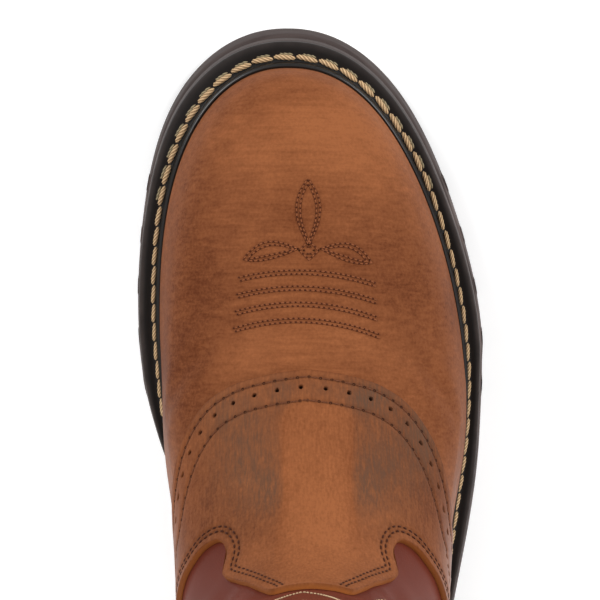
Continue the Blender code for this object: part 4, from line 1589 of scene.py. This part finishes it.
@dataclass
class PullStrap:
    """A strap over the collar at one side: an outer leg, a loop and an inner leg, sewn at both feet.

    leg holds heights over the collar and distances outside the shaft, up the strap's inner face.
    """

    last: Last
    side: Side
    width: float = 27.0
    wall: float = 1.8
    gap: float = 0.15
    shaft_wall: float = 2.2
    columns: int = 33
    per_point: int = 10
    round_from: float = 0.94
    round_share: float = 0.8
    row_inset: int = 3
    row_foot: int = 4
    row_end: int = 24
    tilt: float = 0.12
    stitch: Stitch = Stitch(2.3, 1.9, 0.7, 0.10, 0.3)
    leg: Rows = ((-42.0, 0.0), (-22.0, 0.0), (-3.0, 0.3), (3.0, 2.2), (7.0, 3.3), (10.0, 1.7))
    crown_height: float = 11.0
    low_level: float = 10.0

    def path(self) -> Array:
        """Heights and distances from the foot of the outer leg over the loop to the inner leg's foot."""
        outer = np.array(self.leg) + (0.0, self.gap)
        inner = outer[::-1] * (1.0, -1.0) - (0.0, self.shaft_wall)
        return curve(np.vstack([outer, (self.crown_height, -self.shaft_wall / 2), inner]), self.per_point)

    def face(self, extra: float) -> Array:
        """The strap's face at a distance from its inner face, square to its path."""
        path = self.path()
        across = self.last.rings[-1].x_wide + np.linspace(-0.5, 0.5, self.columns) * self.width
        around = self.side.value * self.last.side_angle(self.last.top, across)[:, None]
        levels = np.linspace(self.low_level, self.last.top, 181)
        heights = self.last.point(90.0, levels)[:, 2]
        level = np.interp(heights[-1] + np.minimum(path[:, 0], 0.0), heights, levels)
        step = np.gradient(path, axis=0)
        square = unit(np.stack([-step[:, 1], step[:, 0]], axis=1))
        out = path[:, 1] + extra * square[:, 1]
        points = self.last.point(around, level) + self.last.normal(around, level) * out[:, None]
        points[..., 2] += np.maximum(path[:, 0], 0.0) + extra * square[:, 0]
        return points

    def build(self, leather: Material) -> Piece:
        """Join the strap's two faces into one closed sheet with rounded long edges."""
        edge = np.abs(np.linspace(-1.0, 1.0, self.columns))[:, None, None]
        bend = np.clip((edge - self.round_from) / (1.0 - self.round_from), 0.0, 1.0)
        near, far = self.face(0.0), self.face(self.wall)
        middle = (near + far) / 2
        reach = (far - middle) * np.sqrt(1.0 - bend**2 * self.round_share)
        points = np.concatenate([middle + reach, (middle - reach)[:, ::-1]], axis=1)
        return add_piece(f"pull_loop_{self.side.word}", points, loop_faces(points), [leather], sharp=70.0)

    def sew(self, thread: Material) -> Piece:
        """Sew a row along each long edge of the outer leg and one across its foot."""
        face = self.face(self.wall)
        inset, foot, end = self.row_inset, self.row_foot, self.row_end
        places = []
        for row in (face[inset, foot:end], face[-1 - inset, foot:end], face[inset:-inset, foot]):
            run = run_length(row)
            places.append(read_line(row, run, np.arange(self.stitch.pitch / 2, run[-1], self.stitch.pitch)))
        ahead = np.vstack([np.gradient(row, axis=0) for row in places])
        normals = np.broadcast_to([0.0, self.side.value, self.tilt], ahead.shape)
        name = f"pull_strap_stitches_{self.side.word}"
        return self.stitch.place(name, np.vstack(places), ahead, normals, thread)


@dataclass
class SolePlan:
    """The sole's outlines between its top edge under the welt and its tread edge on the floor.

    fore_trim is what comes off the sides between ball and toe, and trim its middle and span.
    """

    last: Last
    top_edge: Ring = Ring("top", 145.8, 0, -150.0, 0, 46, 55.6, 55.4, 7.4, 2.15, 2.80, 10.0, 2.8, 18.5, 1.0)
    tread_edge: Ring = Ring("tread", 151, 0, -151, 0, 48, 57, 56.4, 7.5, 2.15, 2.80, 10.0, 2.8, 18.6, 1.0)
    fore_trim: float = 1.0
    trim: tuple[float, float] = (95.0, 45.0)

    def outline(self, flare: float, angles: Array) -> Array:
        """Plan outline at a share of the way from the top edge to the tread edge.

        The sides between ball and toe are flattened by a squared-cosine hump.
        """
        turn = np.radians(angles)
        top = self.last.ring_points(self.top_edge[1:], turn)
        tread = self.last.ring_points(self.tread_edge[1:], turn)
        plan = top + (tread - top) * flare
        plan[:, 1] -= np.sign(np.sin(turn)) * self.fore_trim * self.last.hump(plan[:, 0], *self.trim)
        return plan

    def angle_at(self, x: float) -> float:
        """Angle on the inner side, in degrees, where the tread's outline passes X."""
        angles = np.linspace(90.0, 180.0, 721)
        return float(np.interp(-x, -self.outline(1.0, angles)[:, 0], angles))

    @staticmethod
    def inset(ring: Array, distance: float) -> Array:
        """Move a closed ring in, square to its plan outline."""
        return ring - outward(np.roll(ring, -1, axis=0) - np.roll(ring, 1, axis=0)) * distance


class SideStep(NamedTuple):
    """A row of the sole's side: share of the way down, share of the flare, and how far it stands in."""

    down: float
    flare: float
    inset: float


def slot_mask(along: Array, across: Array, width: float, length: float, slope: float = 0.9) -> Array:
    """1 inside a tread slot and 0 outside, with a short slope at its walls.

    Args:
        along: Distance from the slot's middle across its width.
        across: Distance from the slot's middle along its length.
        width: The slot's width.
        length: The slot's length.
        slope: Run of its walls.

    Returns:
        The mask.
    """
    return smooth_step(np.minimum(width / 2 - np.abs(along), length / 2 - np.abs(across)) / slope + 0.5)


@dataclass
class Outsole:
    """The outsole with its stepped side, toe spring, arch and lugs; side holds SideStep values."""

    plan: SolePlan
    lines: int = 900
    across: int = 61
    cover_across: int = 4
    lug_depth: float = 4.2
    least_lift: float = 0.02
    lug_gap: float = 5.6
    lug_pitch: float = 16.9
    lug_first: float = 100.7
    lugs: int = 5
    lug_reach: float = 27.0
    centre_grooves: int = 4
    centre_y: float = 2.0
    centre_length: float = 36.0
    dust: float = 1.4
    toe_dust: float = 0.4
    dust_from: float = 85.0
    dust_span: float = 40.0
    tread_dust: float = 0.35
    rim_rows: int = 3
    rim_dust: float = 0.4
    side: Rows = (
        (0.00, 0.00, 0.9), (0.02, 0.01, 0.3), (0.05, 0.03, 0.0), (0.20, 0.16, 0.0), (0.36, 0.29, 0.0),
        (0.39, 0.31, 0.35), (0.42, 0.37, 0.9), (0.50, 0.46, 0.9), (0.53, 0.50, 0.35), (0.56, 0.55, 0.0),
        (0.66, 0.68, 0.0), (0.76, 0.80, 0.0), (0.86, 0.92, 0.0), (0.93, 1.00, 0.0), (0.97, 1.00, 0.25),
        (1.00, 1.00, 1.0),
    )

    def groove_mask(self, x: Array, y: Array) -> Array:
        """1 inside the tread's grooves: side grooves square to the outline, and centre grooves."""
        total = np.zeros(x.shape)
        for side in Side:
            edge = self.plan.outline(1.0, side.value * np.linspace(180.0, 0.0, 361))
            for middle in self.lug_first - self.lug_pitch * np.arange(self.lugs):
                at, ahead = np.interp([middle, middle + 1.0], edge[:, 0], edge[:, 1])
                turn = math.atan(ahead - at)
                along = (x - middle) * math.cos(turn) + (y - at) * math.sin(turn)
                across = (y - at) * math.cos(turn) - (x - middle) * math.sin(turn)
                total = np.maximum(total, slot_mask(along, across, self.lug_gap, 2 * self.lug_reach))
        for middle in self.lug_first - self.lug_pitch * (np.arange(self.centre_grooves) + 0.5):
            mask = slot_mask(x - middle, y - self.centre_y, self.lug_gap, self.centre_length)
            total = np.maximum(total, mask)
        return total

    def build(self, rubber: Material) -> Piece:
        """Stack the side's rings, close the top with rungs and the tread with a grooved grid."""
        turn = np.arange(self.lines) * 360.0 / self.lines
        last = self.plan.last
        rings = []
        for step in (SideStep(*row) for row in self.side):
            ring = self.plan.inset(self.plan.outline(step.flare, turn), step.inset)
            top = last.sole_top(ring[:, 0])
            ring[:, 2] = top + (last.sole_bottom(ring[:, 0]) - top) * step.down
            rings.append(ring)
        tread = ring_rungs(rings[-1], self.across)
        tread[..., 2] = last.sole_bottom(tread[..., 0])
        cover = ring_rungs(rings[0], self.cover_across)
        cover[..., 2] = last.sole_top(cover[..., 0])
        wall = np.stack(rings, axis=1)
        for sheet in (wall, tread):
            lift = self.groove_mask(sheet[..., 0], sheet[..., 1]) * self.lug_depth
            roof = last.sole_bottom(sheet[..., 0]) + lift
            sheet[..., 2] = np.where(lift > self.least_lift, np.maximum(sheet[..., 2], roof), sheet[..., 2])
        fore = smooth_step((wall[..., 0] - self.dust_from) / self.dust_span)
        dust = self.dust + (self.toe_dust - self.dust) * fore
        dust[:, :self.rim_rows] *= self.rim_dust
        sheets = [Sheet(wall, True, dust, True), Sheet(tread, False, self.tread_dust), Sheet(cover, True)]
        return weld_sheets("outsole_tread", sheets, rubber)


@dataclass
class HeelBlock:
    """The heel: the sole's outline behind the breast, drawn in towards the floor, with a top-lift line.

    side holds shares of the height and how far the outline stands in there; dust is what wall, tread,
    seat and breast paint as side.
    """

    plan: SolePlan
    lines: int = 241
    across: int = 49
    groove_first: float = -83.0
    groove_pitch: float = 20.0
    grooves: int = 3
    groove_gap: float = 5.6
    groove_depth: float = 4.2
    fit_gap: float = 0.12
    dust: tuple[float, ...] = (1.0, 0.35, 0.0, 0.6)
    side: Rows = (
        (1.00, 0.9), (0.98, 0.5), (0.86, 0.9), (0.60, 1.25), (0.34, 1.6), (0.325, 2.1), (0.305, 2.1),
        (0.29, 1.65), (0.16, 1.9), (0.06, 2.05), (0.02, 2.3), (0.00, 2.9),
    )

    def build(self, rubber: Material) -> Piece:
        """Stack inset outlines from the seat down, and close breast, top and tread with rungs."""
        last = self.plan.last
        start = self.plan.angle_at(last.heel_breast)
        outline = self.plan.outline(1.0, np.linspace(start, 360.0 - start, self.lines))
        height = float(last.sole_bottom(np.array(last.heel_x))) - self.fit_gap
        share, inset = np.array(self.side).T[..., None]
        wall = outline[:, None] - outward(np.gradient(outline, axis=0))[:, None] * inset
        wall[..., 2] = height * share[:, 0]
        half = self.lines // 2 + 1
        tread, seat_face = (rungs(wall[:half, row], wall[::-1][:half, row], self.across) for row in (-1, 0))
        breast = rungs(wall[0], wall[-1], self.across).swapaxes(0, 1)
        for sheet in (wall, tread, breast):
            for middle in self.groove_first - self.groove_pitch * np.arange(self.grooves):
                lift = slot_mask(sheet[..., 0] - middle, np.zeros(1), self.groove_gap, last.toe_x)
                sheet[..., 2] = np.maximum(sheet[..., 2], lift * self.groove_depth)
        faces = zip((wall, tread, seat_face, breast), (True, False, True, True), self.dust)
        return weld_sheets("heel_block", [Sheet(*row) for row in faces], rubber)


@dataclass
class Welt:
    """The welt round the forepart, with its raised bead against the upper and its lock stitches.

    Across the welt, out is 0 at the upper and 1 at the sole's edge.  shine, shift and spread are where
    along the foot the bead begins to shine, the row begins to move out and its stitches begin to grow,
    and bead_end and scuff_start are places across it, each with its run.
    """

    plan: SolePlan
    thickness: float = 3.6
    steps: int = 520
    end_gap: float = 2.0
    bead_level: float = 0.45
    bead_middle: float = 0.14
    bead_half: float = 0.16
    bead_rise: float = 2.7
    seat: float = 0.12
    edge_from: float = 0.93
    edge_share: float = 0.55
    groove_out: float = 0.45
    groove_half: float = 0.20
    groove_depth: float = 0.40
    toe_out: float = 0.45
    side_out: float = 0.33
    bead_end: tuple[float, float] = (0.30, 0.08)
    scuff_start: tuple[float, float] = (0.70, 0.22)
    side_shine: float = 0.06
    side_scuff: float = 0.7
    toe_scuff: float = 0.3
    shine: tuple[float, float] = (102.0, 22.0)
    shift: tuple[float, float] = (30.0, 80.0)
    spread: tuple[float, float] = (60.0, 60.0)
    strand_aside: float = 1.25
    strand_behind: float = 0.45
    strand_from: float = 96.0
    slant: float = 0.09
    toe_pitch: float = 7.3
    side_slim: float = 0.78
    stitch: Stitch = Stitch(6.15, 6.75, 1.62, 0.30, 0.8, 4, 5.0, 0.17, 31, 16)
    strand: Stitch = Stitch(6.15, 6.5, 0.98, 0.05, 0.8, 3, 4.5, 0.14, 21, 12)

    @staticmethod
    def past(value: Array, place: tuple[float, float]) -> Array:
        """0 up to a place, and an S curve to 1 over its run."""
        return smooth_step((value - place[0]) / place[1])

    def top(self, out: Array) -> Array:
        """Height of the upper face: flat, with a bell-shaped stitch groove and an elliptic bead."""
        groove = self.groove_depth * np.exp(-(((out - self.groove_out) / self.groove_half) ** 2))
        reach = np.clip((out - self.bead_middle) / self.bead_half, -1.0, 1.0)
        bead = self.bead_rise * np.sqrt(1.0 - reach**2)
        edge = np.sqrt(1.0 - np.clip((out - self.edge_from) / (1.0 - self.edge_from), 0.0, 1.0) ** 2)
        return (self.thickness - groove) * (self.edge_share + (1.0 - self.edge_share) * edge) + bead

    def line(self, out: Array, steps: int) -> Array:
        """Points across the welt at shares from the upper to the sole's edge, on the sole's top.

        The welt runs from the outer breast round the toe to the inner breast.
        """
        last = self.plan.last
        end = self.plan.angle_at(last.heel_breast - self.end_gap)
        angles = np.linspace(-end, end, steps)
        inner = last.point(angles, self.bead_level) + last.normal(angles, self.bead_level) * self.seat
        points = inner[:, None] + (self.plan.outline(0.0, angles) - inner)[:, None] * out[None, :, None]
        points[..., 2] = last.sole_top(points[..., 0]) + self.seat
        return points

    def build(self, leather: Material) -> Piece:
        """Carry the section along the welt's run."""
        # Shares across: close together at the rim, then even over the face and over the bead.
        rim = [1.0, 0.998, 0.99, 0.975, 0.95]
        face = np.concatenate([rim, np.linspace(0.92, 0.40, 22), np.linspace(0.38, 0.0, 22)])
        back = np.linspace(0.0, 1.0, 5)
        points = np.concatenate([self.line(face, self.steps), self.line(back, self.steps)], axis=1)
        points[:, :len(face), 2] += self.top(face)
        bead = np.concatenate([1.0 - self.past(face, self.bead_end), np.zeros(len(back))])
        scuff = np.concatenate([self.past(face, self.scuff_start), np.ones(len(back))])
        toe = self.past(points[..., 0], self.shine)
        shine = self.side_shine + (1.0 - self.side_shine) * toe
        wear = self.side_scuff + (self.toe_scuff - self.side_scuff) * toe
        masks = {"bead": bead * shine, "scuff": scuff * wear}
        return add_piece("welt_strip", points, loop_faces(points), [leather], masks, sharp=60.0)

    def sew(self, name: str, stitch: Stitch, thread: Material, aside: float = 0.0,
            from_x: float = -1000.0) -> Piece:
        """Sew a row along the welt, nearer the upper and shorter-stitched at the sides than at the toe.

        Args:
            name: The piece's name.
            stitch: The stitch's sizes.
            thread: Its material.
            aside: Distance outside the main row; a row set aside also lags behind it.
            from_x: Only stitches further forward are made.

        Returns:
            The joined mesh.
        """
        both = self.line(np.array([0.0, 1.0]), 2400)
        out = self.side_out + (self.toe_out - self.side_out) * self.past(both[:, 1, 0], self.shift)
        line = both[:, 0] + (both[:, 1] - both[:, 0]) * out[:, None]
        line[:, 2] = self.plan.last.sole_top(line[:, 0]) + self.seat + self.top(out)
        run = run_length(line)
        wider = (self.toe_pitch / stitch.pitch - 1.0) * self.past(line[:, 0], self.spread)
        count = np.concatenate([[0.0], np.cumsum(np.diff(run) / (stitch.pitch * (1.0 + wider[1:])))])
        at = np.interp(np.arange(1.0, count[-1] - 1.0), count, run)
        stretch = 1.0 + np.interp(at, run, wider)
        forward = self.past(np.interp(at, run, line[:, 0]), self.spread)
        slim = self.side_slim + (1.0 - self.side_slim) * forward
        if aside:
            at = at - self.strand_behind
        places = read_line(line, run, at)
        ahead = unit(np.gradient(places, axis=0))
        up = np.broadcast_to([0.0, 0.0, 1.0], places.shape)
        aim = np.cross(ahead, up)
        places = places + aim * aside
        keep = places[:, 0] > from_x
        lean = ahead + self.slant * aim
        return stitch.place(name, places[keep], lean[keep], up[keep], thread, stretch[keep], slim[keep])


@dataclass
class Insole:
    """The foot bed, dished a little under heel and ball, lying on the outsole inside the upper."""

    plan: SolePlan
    thickness: float = 3.2
    inset: float = 3.2
    seat: float = 0.45
    dish: float = 0.9
    bevel: tuple[float, float] = (0.6, 0.8)
    lines: int = 240
    across: int = 33

    def build(self, leather: Material) -> Piece:
        """Stack three rings and close them with rungs, the upper face dished as a squared sine."""
        last = self.plan.last
        turn = np.arange(self.lines) * 360.0 / self.lines
        outline = self.plan.inset(last.point(turn, 0.0), self.inset)
        inset, drop = self.bevel
        rings = [self.plan.inset(outline, inset), outline, outline]
        heights = np.array([self.thickness, self.thickness - drop, 0.0])
        wall = np.stack(rings, axis=1)
        bed = ring_rungs(wall[:, 0], self.across)
        base = ring_rungs(wall[:, -1], self.across)
        bowl = np.sin(math.pi * np.linspace(0.0, 1.0, self.across)) ** 2 * self.dish
        for sheet, height in ((wall, heights), (bed, self.thickness - bowl), (base, 0.0)):
            sheet[..., 2] = last.sole_top(sheet[..., 0]) + self.seat + height
        sheets = [Sheet(wall, True, closed=True), Sheet(bed, True), Sheet(base, False)]
        return weld_sheets("insole_bed", sheets, leather)


class Lamp(NamedTuple):
    """A round soft light by its place and size in metres, and its power."""

    name: str
    place: tuple[float, float, float]
    size: float
    power: float


@dataclass
class Studio:
    """A pale floor, soft light all round, and a camera straight over the vamp.

    The lights are two before the toe, one outside and one behind.
    """

    camera_place: tuple[float, float, float] = (62.0, 3.3, 1100.0)
    floor_scale: float = 3.05
    floor_level: float = 10.0
    image_width: int = 600
    sensor_mm: float = 36.0
    floor_half: float = 3.0
    floor_shade: float = 0.95
    floor_glow: float = 0.22
    world_strength: float = 0.28
    aim: tuple[float, float, float] = (0.05, 0.0, 0.05)
    lamps: tuple[Lamp, ...] = (
        Lamp("inner front", (0.80, 1.10, 1.20), 1.0, 19.5),
        Lamp("outer front", (0.75, -1.15, 1.20), 1.0, 17.0),
        Lamp("outer side", (-0.25, -1.30, 1.30), 1.2, 9.5),
        Lamp("heel side", (-1.25, 0.35, 1.35), 1.2, 14.0),
    )

    def build(self) -> None:
        """Make floor, world, lights and camera."""
        self.floor()
        self.world()
        for lamp in self.lamps:
            self.light(lamp)
        self.camera()

    def floor(self) -> None:
        """A wide pale plane at floor level, with a faint glow of its own."""
        material = Graph("pale floor").dress(
            Base_Color=(self.floor_shade, self.floor_shade, self.floor_shade, 1.0),
            Roughness=0.9,
            Emission_Color=(1.0, 1.0, 1.0, 1.0),
            Emission_Strength=self.floor_glow,
        )
        half = self.floor_half
        mesh = bpy.data.meshes.new("floor")
        corners = [(-half, -half, 0.0), (half, -half, 0.0), (half, half, 0.0), (-half, half, 0.0)]
        mesh.from_pydata(corners, [], [(0, 1, 2, 3)])
        mesh.materials.append(material)
        floor = bpy.data.objects.new("floor", mesh)
        bpy.context.scene.collection.objects.link(floor)

    def world(self) -> None:
        """An even white world, shown without a film look."""
        scene = bpy.context.scene
        world = bpy.data.worlds.new("studio")
        world.use_nodes = True
        sky = world.node_tree.nodes["Background"]
        sky.inputs["Color"].default_value = (1.0, 1.0, 1.0, 1.0)
        sky.inputs["Strength"].default_value = self.world_strength
        scene.world = world
        scene.view_settings.view_transform = "Standard"
        scene.view_settings.look = "None"

    def light(self, lamp: Lamp) -> None:
        """One lamp, turned to look at the boot: tilted by its slope, then swung round to its heading."""
        data = bpy.data.lights.new(lamp.name, "AREA")
        data.shape = "DISK"
        data.size = lamp.size
        data.energy = lamp.power
        holder = bpy.data.objects.new(lamp.name, data)
        holder.location = lamp.place
        x, y, z = (float(to - start) for to, start in zip(self.aim, lamp.place))
        holder.rotation_euler = (math.atan2(math.hypot(x, y), -z), 0.0, math.atan2(-x, y))
        bpy.context.scene.collection.objects.link(holder)

    def camera(self) -> None:
        """A long lens straight down: the toe points up in the image."""
        data = bpy.data.cameras.new("camera")
        data.sensor_width = self.sensor_mm
        focal_pixels = self.floor_scale * (self.camera_place[2] - self.floor_level)
        data.lens = focal_pixels * self.sensor_mm / self.image_width
        camera = bpy.data.objects.new("camera", data)
        camera.location = [value * MM for value in self.camera_place]
        camera.rotation_euler = (0.0, 0.0, -math.pi / 2)
        bpy.context.scene.collection.objects.link(camera)
        bpy.context.scene.camera = camera


def build_sole(plan: SolePlan, finishes: Finishes) -> None:
    """Build outsole, heel, welt with its stitches, and insole."""
    welt = Welt(plan)
    seat(Outsole(plan).build(finishes.rubber), Slot.RUBBER, "outsole")
    seat(HeelBlock(plan).build(finishes.rubber), Slot.RUBBER, "heel")
    seat(welt.build(finishes.welt), Slot.WELT, "welt")
    seat(welt.sew("welt_stitches", welt.stitch, finishes.gold))
    strands = (welt.strand_aside, welt.strand_from)
    seat(welt.sew("welt_bobbin_strands", welt.strand, finishes.grey, *strands))
    seat(Insole(plan).build(finishes.lining), Slot.INSOLE, "insole")


def build_leather(last: Last, finishes: Finishes) -> None:
    """Build upper, saddle, counter and shaft with their stitching."""
    toe = ToeStitching(last)
    upper = Upper(last, toe)
    seat(upper.build(finishes.tan, finishes.lining), Slot.TAN, "upper")
    seat(toe.stitch.sew("toe_stitches", toe.lines(), finishes.russet, toe.stitch_out))
    seat(toe.holes.punch("toe_pinholes", toe.lines(), finishes.needle))
    sewing = Sewing(last)
    saddle = make_saddle(last)
    counter = make_counter(last)
    front = sewing.front_lines(saddle)
    back = sewing.back_lines(saddle)
    heel_rows = sewing.counter_lines(counter)
    holes = sewing.hole_line(saddle).points()
    seat(saddle.build(finishes.tan, front + back, holes), Slot.TAN, saddle.node)
    seat(counter.build(finishes.tan, heel_rows), Slot.TAN, counter.node)
    seat(sewing.front_stitch.sew("saddle_front_stitches", front, finishes.umber, sewing.lift))
    seat(sewing.front_holes.punch("saddle_pinholes", front, finishes.brown))
    seat(sewing.back_stitch.sew("saddle_scoop_stitches", back, finishes.brown, sewing.lift))
    seat(sewing.back_stitch.sew("counter_stitches", heel_rows, finishes.brown, sewing.lift))
    shaft = Shaft(last, upper)
    seat(shaft.build(finishes.burgundy, finishes.lining), Slot.BURGUNDY, "shaft")
    seat(shaft.stitch.sew("shaft_figure_stitches", shaft.lines(), finishes.cream, shaft.stitch_out))
    for side in Side:
        seam = SideSeam(last, side)
        strap = PullStrap(last, side)
        seat(seam.build(finishes.burgundy), Slot.BURGUNDY, f"side_seam_{side.word}")
        seat(seam.stitch.sew(f"side_seam_stitches_{side.word}", seam.rows(), finishes.cream))
        seat(strap.build(finishes.burgundy), Slot.BURGUNDY, f"pull_strap_{side.word}")
        seat(strap.sew(finishes.cream))


def main() -> None:
    """Build the boot from the sole up, then the studio."""
    logging.basicConfig(level=logging.INFO, format="%(name)s: %(message)s")
    last = Last()
    finishes = Finishes()
    build_sole(SolePlan(last), finishes)
    build_leather(last, finishes)
    Studio().build()


if __name__ == "__main__":
    main()
